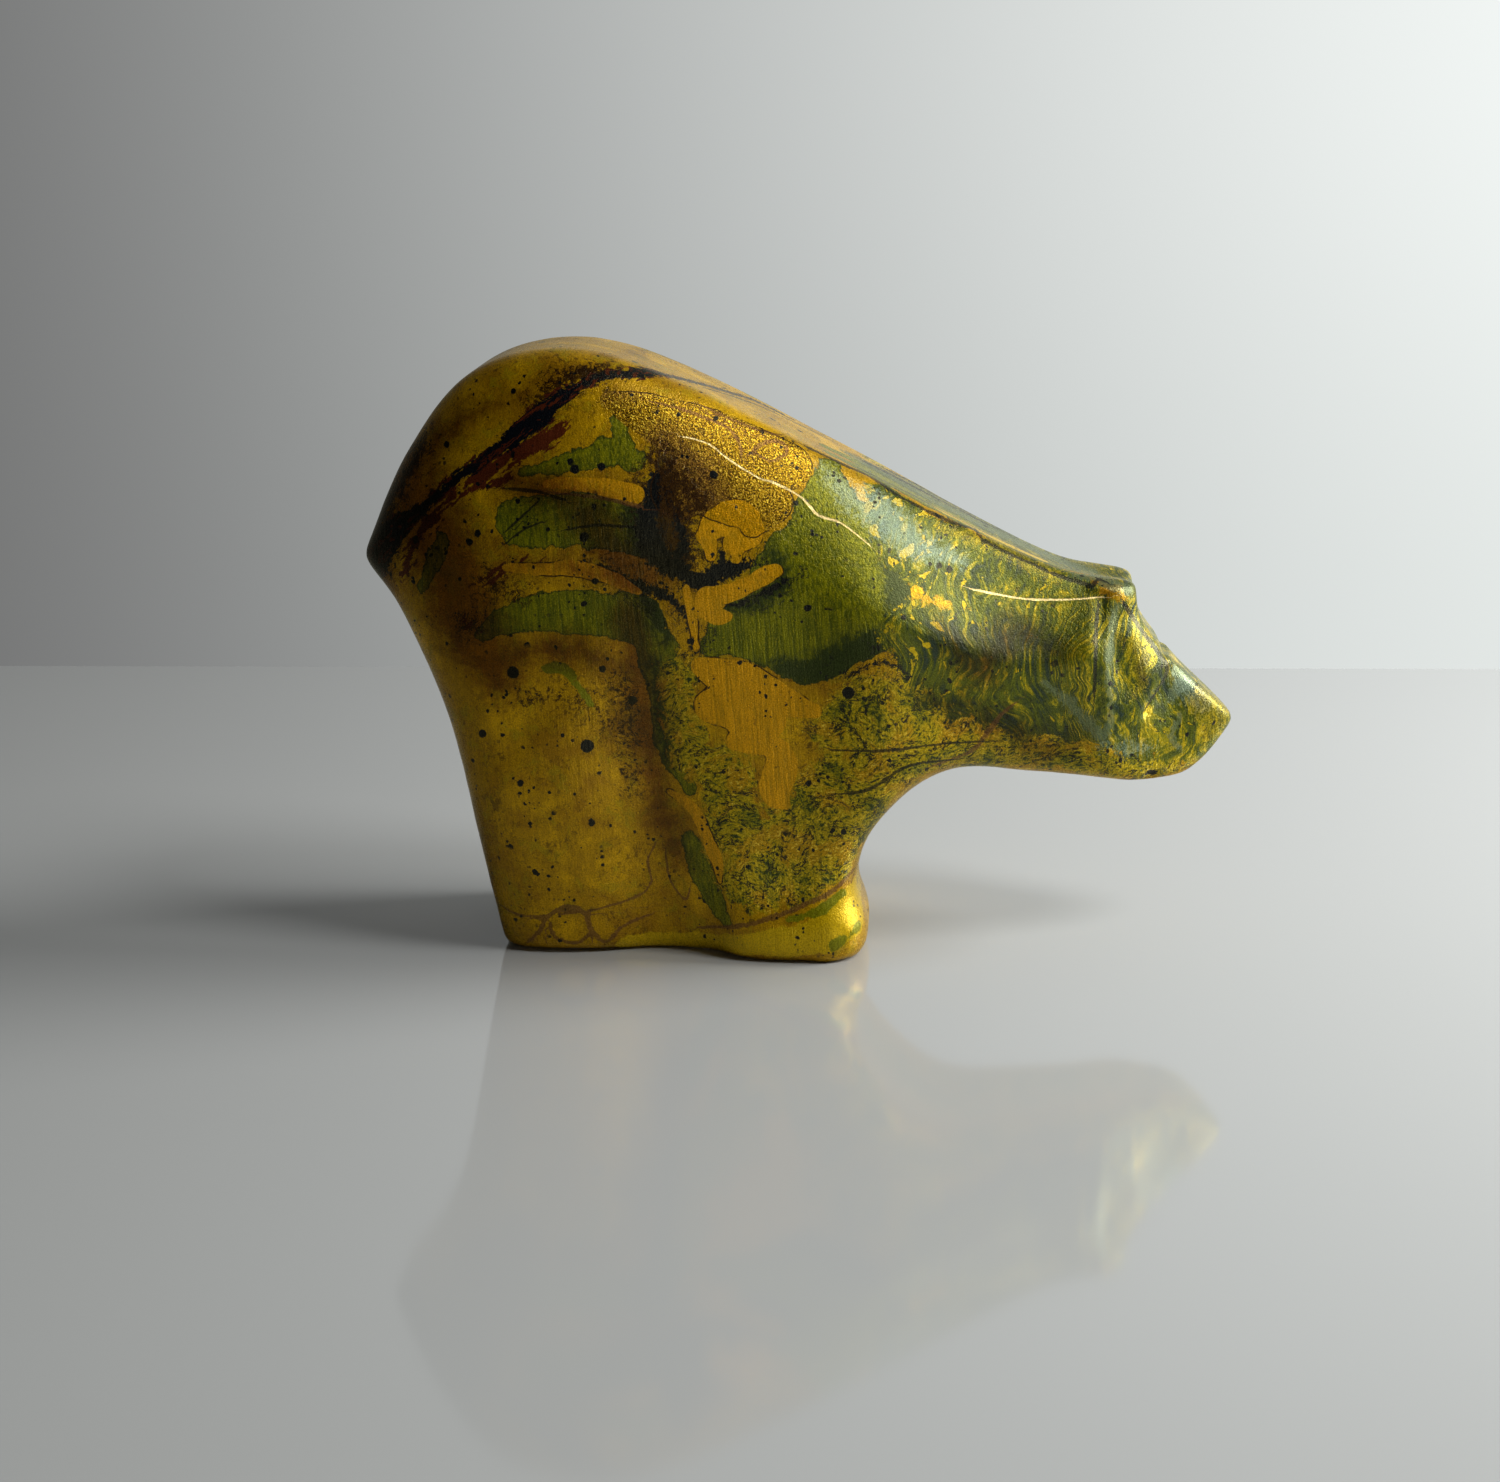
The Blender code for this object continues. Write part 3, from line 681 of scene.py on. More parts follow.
FAR_PAINT = strokes_on(Side.FAR, {
    Paint.MOSS: {
        "far leaf": ((-38, 52, 1.4), (-32, 56.6, 3.2), (-25, 60, 3.4), (-19, 60, 2.0)),
        "far band": ((-40, 40, 1.0), (-33, 43, 2.4), (-25, 42.4, 2.8), (-18, 40, 2.6)),
        "far hollow": ((-17.4, 38, 2.2), (-16, 28, 1.6), (-14, 14, 1.4), (-12, 7, 1.6)),
        "far shoulder": (
            (0, 61, 2.0), (-2, 56, 3.4), (4, 53, 7.0), (8, 47, 7.0), (2, 41, 5.4), (-7, 42, 3.4)),
    },
    Paint.AMBER: {
        "far elbow": ((-12, 47, 1.4), (-8, 44.6, 1.8), (-4.4, 46.4, 1.2), (-2.6, 48, 0.7)),
        "far island": ((2, 55, 1.0), (5, 57, 1.6), (9, 54, 0.8)),
        "far upper arm": ((-10, 35, 1.4), (-5, 33.6, 2.8), (1, 31.6, 1.8)),
        "far forearm": ((3, 29, 2.0), (0, 24, 2.2), (1.4, 19, 1.0)),
        "far strip": ((-36, 49, 1.0), (-29, 50.4, 1.2), (-22, 50, 0.8)),
    },
    Paint.LEMON: {
        "far paw": ((7, 8, 1.8), (4, 4.4, 2.6), (-4, 2.6, 2.0), (-16, 1.4, 1.4)),
    },
    Paint.GILT: {
        "far gilding": ((-22, 69, 1.6), (-15, 66.4, 3.6), (-8, 63, 3.8), (-3, 61, 2.0)),
    },
    Paint.VEIN: {
        "far tail vein": ((-54, 49, 2.4), (-50.6, 54, 1.6), (-46, 59.4, 0.8), (-40, 63.6, 0.8)),
        "far haunch vein": ((-40, 63.6, 0.8), (-34, 66.6, 1.1), (-27, 70, 0.8), (-20, 71, 0.5)),
        "far vein's fork": ((-45, 59, 0.6), (-38, 57.6, 0.5), (-29, 51.4, 0.7), (-22, 49.6, 0.4)),
    },
    Paint.MAROON: {
        "far strand": ((-46, 56, 0.6), (-38, 60.4, 1.1), (-30, 64.4, 1.2), (-24, 66.6, 0.6)),
    },
    Paint.NAVY: {
        "far pool": ((-14, 51, 0.8), (-11, 50, 1.3), (-7.6, 49.6, 1.0), (-5, 51, 0.4)),
        "far hem": ((-2, 36.8, 0.5), (3, 36.4, 1.1), (8, 39, 0.9), (13, 38, 0.5)),
    },
    Paint.DROP: {
        "far thigh drop": ((-32, 32, 0.9),),
        "far shin drop": ((-27, 20, 0.6),),
        "far knee drop": ((-36, 26, 0.5),),
    },
    Paint.UMBER: {
        "far smudge": ((-17, 55, 2.2), (-14, 60, 2.4), (-10, 57, 1.2)),
        "far blot": ((-42, 46, 1.2), (-40, 43, 1.0)),
        "far crumbs": ((-32, 32, -0.8), (-24, 30, 0.2), (-22, 24, -0.6)),
    },
    Paint.MOTTLE: {
        "far front leg": ((-9, 20, 4.0), (-4, 12, 5.0), (4, 20, 6.5), (12, 29, 6.0)),
        "far throat": ((16, 29, 5.0), (28, 26, 4.0), (35, 26, 3.0)),
    },
    Paint.SWIRL: {
        "far neck": ((15, 44, 4.0), (20, 39, 6.0), (29, 38, 8.0), (37, 36, 9.0), (46, 31, 7.0)),
        "far chamfer": ((11, 57, 2.6), (15, 52, 5.0), (24, 48, 5.5), (33, 44, 5.5)),
    },
    # Painted highlight: a pale sheen along the far chamfer.
    Paint.PALE: {
        "far wash": ((4, 60, 1.2), (10, 56, 2.6), (17, 51, 2.6), (26, 46.6, 1.2)),
    },
    Paint.DUSK: {
        "far dusk": ((-3, 39, 1.2), (3, 38.4, 2.2), (9, 41, 2.4), (12, 45, 2.0)),
    },
    # Painted shade on the far haunch and rump.
    Paint.SHADE: {
        "far glaze": ((-50, 60, 3.0), (-42, 52, 3.0), (-34, 66, 2.0), (-20, 62, 2.0)),
    },
    Paint.FLECK: {
        "far cheek": ((40, 41, 1.2), (42, 37, 2.6), (42, 33.6, 1.8)),
    },
    Paint.INK: {
        "far crease": ((37, 43.4, 0.3), (36.8, 38, 0.45), (36.6, 33, 0.4), (36.8, 29, 0.2)),
        "far brow": ((40.2, 43.4, 0.3), (42.6, 40, 0.3), (45.6, 35.4, 0.35), (43.4, 30.8, 0.15)),
    },
    Paint.THREAD: {
        "far base line": ((7, 11.4, 0.3), (2, 8, 0.3), (-5, 5, 0.26), (-13, 3.6, 0.16)),
        "far foot's line": ((-36, 4, 0.2), (-30, 6.4, 0.26), (-24, 4.4, 0.24), (-18, 6, 0.12)),
        "far curl": ((-16, 68, 0.1), (-11, 66.4, 0.22), (-8.4, 63.8, 0.24), (-10.4, 62, 0.12)),
    },
})
UNDER_PAINT = strokes_on(Side.UNDER, {
    Paint.MOTTLE: {
        "belly": ((20, 0, 9.0), (30, 0, 7.0), (10, 0, 6.0)),
        "chin": ((36, 0, 7.0), (45, 0, 6.0), (52, 0, 3.0)),
    },
    Paint.MOSS: {
        "sole": ((-30, 4, 3.0), (-22, -2, 2.4)),
    },
})


@dataclass
class PaintLayers:
    """Where each layer of paint lies: how far inside its strokes each point of the stone is.

    Depths and radii are in millimetres. A line's layer holds a distance in half widths instead.
    """

    strokes: tuple[Stroke, ...] = NEAR_PAINT + TOP_PAINT + FAR_PAINT + UNDER_PAINT
    deepest: float = 6.0
    farthest: float = 40.0
    thinnest: float = 0.08
    step_back: float = 8.0
    shortest: float = 1e-9
    parts: int = 4

    def curved(self, points: Sequence[Point]) -> np.ndarray:
        """A smooth curve through the points.

        Args:
            points: The points.

        Returns:
            One row a place on the curve.
        """
        rows = np.array(points, float)
        if len(rows) < 3:
            return rows
        ends = np.vstack([2 * rows[0] - rows[1], rows, 2 * rows[-1] - rows[-2]])
        t = np.linspace(0.0, 1.0, self.parts, endpoint=False)[:, None]
        spans = [
            b + 0.5 * t * (c - a + t * (2 * a - 5 * b + 4 * c - d + t * (3 * b - a - 3 * c + d)))
            for a, b, c, d in zip(ends[:-3], ends[1:-2], ends[2:-1], ends[3:])
        ]
        return np.vstack(spans + [rows[-1:]])

    def laid(self, stroke: Stroke, stone: BVHTree) -> np.ndarray:
        """The stroke's points on the stone.

        Args:
            stroke: The stroke.
            stone: The stone's surface.

        Returns:
            One row a point: its place in millimetres and its radius.
        """
        start, direction = stroke.side.value
        flat = stroke.side in (Side.TOP, Side.UNDER)
        rows = []
        for first, second, radius in self.curved(stroke.points):
            place = Vector((first, second, 0.0)) if flat else Vector((first, 0.0, second))
            hit = stone.ray_cast(start + place * MM, direction)[0]
            if hit is None:
                hit = stone.find_nearest(place * MM - direction * self.step_back * MM)[0]
            rows.append((*(hit / MM), max(radius, self.thinnest)))
        return np.array(rows)

    def beside(
        self, places: np.ndarray, here: np.ndarray, there: np.ndarray
    ) -> tuple[np.ndarray, np.ndarray]:
        """Where each place lies beside one span of a stroke.

        Args:
            places: The places in millimetres.
            here: The span's first point and radius.
            there: The span's last point and radius.

        Returns:
            The gap from the span to each place, and the span's radius there.
        """
        along = there[:3] - here[:3]
        share = np.clip((places - here[:3]) @ along / max(along @ along, self.shortest), 0.0, 1.0)
        gap = places - here[:3] - share[:, None] * along
        return gap, here[3] + (there[3] - here[3]) * share

    def inside(self, places: np.ndarray, rows: np.ndarray) -> np.ndarray:
        """How far each place is inside a stroke, in millimetres, and less than nought outside.

        Args:
            places: The places in millimetres.
            rows: The stroke's points and radii.

        Returns:
            One number a place.
        """
        if len(rows) == 1:
            return rows[0, 3] - np.linalg.norm(places - rows[0, :3], axis=1)
        depth = np.full(len(places), -FAR_AWAY)
        for here, there in zip(rows[:-1], rows[1:]):
            gap, radius = self.beside(places, here, there)
            depth = np.maximum(depth, radius - np.linalg.norm(gap, axis=1))
        return depth

    def across(self, places: np.ndarray, rows: np.ndarray, direction: np.ndarray) -> np.ndarray:
        """How many half widths each place is from a thin line, less than nought on its one side.

        Args:
            places: The places in millimetres.
            rows: The line's points and half widths.
            direction: The direction in which the line was laid on the stone.

        Returns:
            One number a place.
        """
        nearest = np.full(len(places), FAR_AWAY)
        for here, there in zip(rows[:-1], rows[1:]):
            gap, width = self.beside(places, here, there)
            aside = np.cross(there[:3] - here[:3], direction)
            side = np.where(gap @ aside < 0.0, -1.0, 1.0)
            offset = side * np.linalg.norm(gap, axis=1) / width
            nearest = np.where(np.abs(offset) < np.abs(nearest), offset, nearest)
        return nearest

    def paint(self, piece: bpy.types.Object) -> None:
        """Writes each layer to the piece as an attribute.

        Args:
            piece: The dressed bear.
        """
        mesh = piece.data
        places = np.empty(len(mesh.vertices) * 3)
        mesh.vertices.foreach_get("co", places)
        places = places.reshape(-1, 3) / MM
        stone = BVHTree.FromObject(piece, bpy.context.evaluated_depsgraph_get())
        for paint in Paint:
            reach = self.farthest if paint.is_line else self.deepest
            value = np.full(len(places), reach if paint.is_line else -reach)
            for stroke in self.strokes:
                if stroke.paint is not paint:
                    continue
                rows = self.laid(stroke, stone)
                low, high = rows[:, :3].min(axis=0), rows[:, :3].max(axis=0)
                margin = self.deepest + rows[:, 3].max()
                near = np.all((places > low - margin) & (places < high + margin), axis=1)
                if paint.is_line:
                    offset = self.across(places[near], rows, np.array(stroke.side.value[1]))
                    closer = np.abs(offset) < np.abs(value[near])
                    value[near] = np.where(closer, offset, value[near])
                else:
                    value[near] = np.maximum(value[near], self.inside(places[near], rows))
            layer = mesh.attributes.new(paint.value, "FLOAT", "POINT")
            layer.data.foreach_set("value", np.clip(value, -reach, reach).astype(np.float32))


class MarbledStone:
    """The bear's material: marbled paint on soapstone, rubbed to a satin gloss.

    CHEEK is the middle of the rings that the swirl follows, in millimetres, and OVAL squeezes
    them. HEAD says between which places along the bear the rings give way to straight lines.
    """

    CHEEK: Point = (44.0, 0.0, 41.0)
    OVAL: Point = (1.0, 0.0, 0.8)
    HEAD: Range = (32.0, 38.0)

    def __init__(self, finish: MarbledFinish) -> None:
        """Makes an empty material.

        Args:
            finish: The colours and the shine.
        """
        self.finish = finish
        self.material = bpy.data.materials.new("marbled_stone")
        self.board = NodeBoard(self.material)
        board = self.board
        object_place = board.node("ShaderNodeTexCoord", {}).outputs["Object"]
        self.place = board.vector("MULTIPLY", object_place, (1 / MM,) * 3)
        self.eddies = self.moved(self.place, 0.12, 2.2)
        self.drift = self.moved(self.eddies, 0.6, 0.8)
        self.wobble = self.moved(self.place, 1.2, 0.25)
        self.torn = board.grain(self.drift, 1.6, 4.0, 0.70).outputs[0]
        self.wander = board.grain(self.place, 0.45, 2.0, 0.45).outputs[0]
        self.sparkle = board.grain(self.place, 5.0, 2.0, 0.7).outputs[0]
        upright = board.stretched(self.place, 4.0, (3.0, 3.0, 0.18))
        self.streaks = board.grain(upright, 1.0, 3.0, 0.65).outputs[0]
        slanting = board.stretched(self.wobble, 38.0, (0.14, 1.7, 1.7))
        self.fibres = board.grain(slanting, 1.0, 3.0, 0.6).outputs[0]
        self.presence = board.grain(self.place, 0.25, 2.0).outputs[0]
        self.wisps = board.grain(self.drift, 0.35, 6.0, 0.66).outputs[0]
        self.crumbs = board.grain(self.wobble, 1.5, 6.0, 0.80).outputs[0]

    def moved(self, at: Socket, per_mm: float, reach: float) -> Socket:
        """Coordinates that drift as wet paint does.

        Args:
            at: The coordinates in millimetres.
            per_mm: How many eddies there are in a millimetre.
            reach: How far the paint drifts, in millimetres.

        Returns:
            The new coordinates.
        """
        board = self.board
        swing = board.vector("SUBTRACT", board.grain(at, per_mm, 1.0).outputs[1], (0.5, 0.5, 0.5))
        return board.vector("ADD", at, board.vector("MULTIPLY", swing, (2 * reach,) * 3))

    def centred(self, value: Socket, reach: float) -> Socket:
        """A noise value as a distance from minus reach to reach."""
        return self.board.math("MULTIPLY_ADD", value, 2.0 * reach, -reach)

    def depth(self, paint: Paint, wander: float, torn: float) -> Socket:
        """How far inside a layer a place is, once its edge has wandered.

        Args:
            paint: The layer.
            wander: How far the edge wanders, in millimetres.
            torn: How far the edge breaks up.

        Returns:
            The depth in millimetres, less than nought outside.
        """
        board = self.board
        depth = board.math("ADD", board.field(paint.value), self.centred(self.wander, wander))
        return board.math("ADD", depth, self.centred(self.torn, torn))

    def over(self, colour: Socket, coat: Value, depth: Socket, soft: float = 0.06) -> Socket:
        """Colour with a coat of paint over it where depth is more than nought."""
        return self.board.mix(self.board.step(depth, -soft, soft), colour, coat)

    def both(self, a: Socket, b: Value) -> Socket:
        """One where both masks are."""
        return self.board.math("MULTIPLY", a, b)

    def tinted(self, colour: Socket, coat: Value, mask: Socket, strength: float) -> Socket:
        """Colour with a thin coat of that strength over it where the mask is."""
        return self.board.mix(self.both(mask, strength), colour, coat)

    def line(self, value: Socket, at: float, half: float) -> Socket:
        """A thin line where a value passes a level.

        Args:
            value: The value.
            at: The level.
            half: Half the line's width, in the value's own unit.

        Returns:
            One on the line and nought elsewhere.
        """
        board = self.board
        gap = board.math("ABSOLUTE", board.math("SUBTRACT", value, at))
        return board.step(gap, half, half * 0.4)

    def drawn(self, paint: Paint, ragged: float) -> Socket:
        """One on a layer of thin lines and nought elsewhere.

        Args:
            paint: The layer.
            ragged: How far the lines stray from their course, in half widths.

        Returns:
            The mask.
        """
        board = self.board
        stray = board.math("ADD", board.field(paint.value), self.centred(self.torn, ragged))
        thin = board.math("MULTIPLY_ADD", self.presence, 1.4, 0.4)
        return board.step(board.math("SUBTRACT", thin, board.math("ABSOLUTE", stray)), -0.15, 0.25)

    def mottled(self) -> Socket:
        """Olive gold with fine dark dabs, green clouds and cracks.

        Returns:
            The colour.
        """
        board, finish = self.board, self.finish
        wide = board.grain(self.drift, 0.22, 3.0, 0.6).outputs[0]
        colour = board.mix(board.step(wide, 0.36, 0.46), finish.olive, finish.citron)
        colour = board.mix(board.step(wide, 0.50, 0.60), colour, finish.sand)
        swept = board.stretched(self.drift, 12.0, (0.7, 1.2, 1.2))
        dabs = board.grain(swept, 2.6, 5.0, 0.74).outputs[0]
        dabs = board.math("ADD", dabs, self.centred(wide, 0.16))
        colour = self.tinted(colour, finish.fern, board.step(dabs, 0.49, 0.46), 0.7)
        colour = board.mix(board.step(dabs, 0.435, 0.415), colour, finish.pine)
        colour = self.tinted(colour, finish.straw, board.step(dabs, 0.59, 0.63), 0.6)
        crack = board.grain(swept, 0.45, 6.0, 0.70).outputs[0]
        broken = board.step(board.grain(self.drift, 0.5, 2.0).outputs[0], 0.46, 0.52)
        return board.mix(self.both(self.line(crack, 0.46, 0.030), broken), colour, finish.navy)

    def flowing(self, wide: Socket, head: Socket) -> Socket:
        """Coordinates that follow rings round the cheek and run straight along the head.

        Args:
            wide: The places in millimetres, drifted far.
            head: One on the head and nought behind it.

        Returns:
            The coordinates.
        """
        board = self.board
        from_cheek = board.vector("SUBTRACT", wide, self.CHEEK)
        squeezed = board.vector("MULTIPLY", from_cheek, self.OVAL)
        ring = board.node("ShaderNodeVectorMath", {0: squeezed}, operation="LENGTH").outputs[1]
        parts = board.node("ShaderNodeSeparateXYZ", {0: wide}).outputs
        behind = board.math("SUBTRACT", 1.0, head)
        spread = board.math("ADD", self.both(ring, behind), self.both(parts[0], head))
        inputs = {0: spread, 1: self.both(parts[1], 0.14), 2: self.both(parts[2], 0.14)}
        return board.node("ShaderNodeCombineXYZ", inputs).outputs[0]

    def swirled(self) -> Socket:
        """Long lines of gold, green and blue that flow down the neck and round the cheek.

        Returns:
            The colour.
        """
        board, finish = self.board, self.finish
        wide = self.moved(self.moved(self.place, 0.10, 4.5), 0.35, 1.2)
        along = board.node("ShaderNodeSeparateXYZ", {0: wide}).outputs[0]
        head = board.step(along, *self.HEAD)
        lines = self.flowing(wide, head)
        flow = board.grain(lines, 1.5, 4.0, 0.66).outputs[0]
        flow = board.math("ADD", flow, self.centred(self.torn, 0.12))
        flow = board.math("MULTIPLY_ADD", head, 0.05, flow)
        bold = board.grain(self.eddies, 0.16, 3.0, 0.55).outputs[0]
        flow = board.math("ADD", flow, self.centred(bold, 0.10))
        colour = board.mix(board.step(flow, 0.38, 0.44), finish.teal, finish.pine)
        colour = self.tinted(colour, finish.fern, board.step(flow, 0.46, 0.50), 0.62)
        for low, high, paint in (
            (0.55, 0.58, finish.olive),
            (0.63, 0.65, finish.citron),
            (0.71, 0.74, finish.straw),
        ):
            colour = board.mix(board.step(flow, low, high), colour, paint)
        blur = self.both(board.step(bold, 0.44, 0.54), board.step(self.torn, 0.60, 0.40))
        colour = self.tinted(colour, finish.fern, blur, 0.6)
        isles = board.grain(board.vector("MULTIPLY", lines, (0.8, 3.6, 3.6)), 1.1, 2.0).outputs[0]
        isles = board.math("ADD", isles, self.centred(self.torn, 0.10))
        fewer = board.math("MULTIPLY", board.step(along, 13.0, 24.0), -0.10)
        isles = board.math("ADD", isles, fewer)
        colour = board.mix(self.line(isles, 0.590, 0.02), colour, finish.pine)
        return board.mix(board.step(isles, 0.605, 0.615), colour, finish.citron)

    def spots(self, per_mm: float, most: float) -> Socket:
        """Round drops of many sizes, where the paint spattered.

        Args:
            per_mm: How many places for a drop there are in a millimetre.
            most: The radius of the largest drop, as a share of the space between them.

        Returns:
            One on a drop and nought elsewhere.
        """
        board = self.board
        cells = board.node("ShaderNodeTexVoronoi", {"Vector": self.wobble, "Scale": per_mm})
        chance = board.node("ShaderNodeSeparateXYZ", {0: cells.outputs["Color"]}).outputs[0]
        radius = board.math("MULTIPLY", board.math("POWER", chance, 5.0), most)
        return board.step(board.math("SUBTRACT", radius, cells.outputs["Distance"]), 0.0, 0.03)

    def ground(self) -> Socket:
        """The gold ground: clouds of bronze and yellow with crumbs and tints of other paint.

        Returns:
            The colour.
        """
        board, finish = self.board, self.finish
        tone = board.grain(self.eddies, 0.14, 5.0, 0.65).outputs[0]
        colour = board.mix(board.step(tone, 0.36, 0.50), finish.bronze, finish.sand)
        colour = board.mix(board.step(tone, 0.50, 0.64), colour, finish.ochre)
        grime = board.math("ADD", self.torn, self.centred(self.presence, 0.25))
        colour = self.tinted(colour, finish.umber, board.step(grime, 0.37, 0.34), 0.55)
        crumb = board.math("ADD", self.crumbs, self.centred(self.presence, 0.14))
        colour = self.tinted(colour, finish.umber, board.step(crumb, 0.335, 0.325), 0.8)
        tint = board.grain(self.drift, 0.3, 5.0, 0.75).outputs[0]
        colour = self.tinted(colour, finish.olive, board.step(tint, 0.54, 0.62), 0.45)
        return self.tinted(colour, finish.umber, self.line(tint, 0.53, 0.012), 0.5)

    def leaves(self, colour: Socket) -> Socket:
        """The green leaves, the mottled legs, the swirled neck, the grey-green paint and reflections, and the
        painted sheen.

        Args:
            colour: The colour under them.

        Returns:
            The colour with them over it.
        """
        board, finish = self.board, self.finish
        moss = self.depth(Paint.MOSS, 0.9, 0.5)
        brushed = board.math("ADD", self.streaks, self.centred(self.torn, 0.12))
        green = board.mix(board.step(brushed, 0.38, 0.62), finish.fern, finish.moss)
        glimmer = board.step(self.sparkle, 0.60, 0.68)
        green = self.tinted(green, finish.citron, glimmer, 0.5)
        green = board.mix(board.step(moss, 0.35, 0.0), green, finish.pine)
        # Darker green: partly the paint's own, partly painted shade.
        dusk = board.math("ADD", self.depth(Paint.DUSK, 1.0, 2.4), self.centred(self.sparkle, 1.2))
        green = board.mix(board.step(dusk, -0.8, 1.0), green, finish.pine)
        colour = self.over(colour, green, moss, 0.05)
        colour = self.over(colour, self.mottled(), self.depth(Paint.MOTTLE, 2.0, 2.0), 0.3)
        colour = self.over(colour, self.swirled(), self.depth(Paint.SWIRL, 1.6, 2.0), 0.2)
        # Grey-green: painted reflection and grey-green paint.
        slate = board.step(self.depth(Paint.SLATE, 0.6, 1.4), -0.2, 0.3)
        colour = self.tinted(colour, finish.slate, slate, 0.75)
        # Painted highlight: a pale sheen over the colour.
        painted_sheen_depth = board.math("ADD", self.depth(Paint.PALE, 1.2, 3.2), self.centred(self.sparkle, 2.4))
        return self.tinted(colour, finish.painted_sheen_colour, board.step(painted_sheen_depth, -0.4, 2.2), 0.45)

    def gilding(self, colour: Socket) -> Socket:
        """The speckled gold, its flecks and the yellow patches.

        Args:
            colour: The colour under them.

        Returns:
            The colour with them over it.
        """
        board, finish = self.board, self.finish
        gold = board.mix(board.step(self.sparkle, 0.43, 0.55), finish.umber, finish.sand)
        gold = board.mix(board.step(self.sparkle, 0.575, 0.66), gold, finish.straw)
        shadowed = board.step(self.depth(Paint.UMBER, 1.0, 1.0), -5.0, 0.0)
        gold = self.tinted(gold, finish.brown, shadowed, 0.7)
        gilt = self.depth(Paint.GILT, 0.3, 0.0)
        colour = self.over(colour, board.mix(0.8, finish.bronze, gold), gilt)
        fleck = board.math("ADD", self.depth(Paint.FLECK, 1.0, 1.5), self.centred(self.sparkle, 2.5))
        dulled = board.mix(0.5, gold, finish.olive)
        colour = self.tinted(colour, dulled, board.step(fleck, 0.0, 0.5), 0.38)
        return self.over(colour, finish.lemon, self.depth(Paint.LEMON, 0.8, 0.5), 0.1)

    def blots(self, colour: Socket) -> Socket:
        """The brown blots, the maroon strands and the dark pools.

        Args:
            colour: The colour under them.

        Returns:
            The colour with them over it.
        """
        board, finish = self.board, self.finish
        brown = self.depth(Paint.UMBER, 1.2, 1.6)
        umber = board.math("MULTIPLY_ADD", brown, 0.075, self.crumbs)
        colour = self.tinted(colour, finish.umber, board.step(umber, 0.50, 0.54), 0.92)
        rims = self.both(self.line(self.wisps, 0.5, 0.016), board.step(brown, -2.2, -1.4))
        colour = board.mix(rims, colour, finish.umber)
        strands = board.math("ADD", self.depth(Paint.MAROON, 0.6, 0.8), self.centred(self.fibres, 2.8))
        colour = self.over(colour, finish.maroon, strands, 0.15)
        navy = self.depth(Paint.NAVY, 0.6, 1.6)
        colour = self.over(colour, finish.navy, navy, 0.08)
        tails = self.both(self.line(self.wisps, 0.47, 0.014), board.step(navy, -2.4, -1.6))
        return board.mix(tails, colour, finish.navy)

    def islands(self, colour: Socket) -> Socket:
        """The orange islands, the thin rims of orange and gold, and the small leaves.

        Args:
            colour: The colour under them.

        Returns:
            The colour with them over it.
        """
        board, finish = self.board, self.finish
        amber = self.depth(Paint.AMBER, 0.3, 0.08)
        orange = board.mix(board.step(self.streaks, 0.25, 0.60), finish.sand, finish.honey)
        orange = self.tinted(orange, finish.umber, board.step(self.crumbs, 0.40, 0.37), 0.6)
        colour = self.over(colour, orange, amber, 0.04)
        broken = board.math("ADD", self.presence, self.centred(self.torn, 0.20))
        gilt = self.depth(Paint.GILT, 0.3, 0.0)
        for depth, low, high in ((amber, 0.50, 0.60), (gilt, 0.40, 0.55)):
            rim = self.both(self.line(depth, 0.0, 0.12), board.step(broken, low, high))
            colour = board.mix(rim, colour, finish.umber)
        return self.over(colour, finish.moss, self.depth(Paint.LEAF, 0.6, 0.4), 0.05)

    def inks(self, colour: Socket) -> Socket:
        """The veins, the drops, the thin lines, the specks and the scratches.

        Args:
            colour: The colour under them.

        Returns:
            The colour with them over it.
        """
        board, finish = self.board, self.finish
        vein = board.math("ADD", self.depth(Paint.VEIN, 0.5, 0.8), self.centred(self.fibres, 1.4))
        black = board.mix(board.step(self.fibres, 0.52, 0.60), finish.navy, finish.maroon)
        colour = self.over(colour, black, vein, 0.10)
        colour = self.over(colour, finish.navy, self.depth(Paint.DROP, 0.1, 0.15), 0.05)
        colour = self.tinted(colour, finish.brown, self.drawn(Paint.THREAD, 1.6), 0.75)
        colour = self.tinted(colour, finish.navy, self.drawn(Paint.INK, 1.6), 0.85)
        peppered = board.step(self.presence, 0.46, 0.56)
        fine = board.math("MAXIMUM", self.spots(0.7, 0.38), self.spots(1.6, 0.50))
        specks = board.math("MAXIMUM", self.spots(0.30, 0.20), self.both(fine, peppered))
        colour = board.mix(specks, colour, finish.navy)
        return board.mix(self.drawn(Paint.SCRATCH, 1.2), colour, finish.cream)

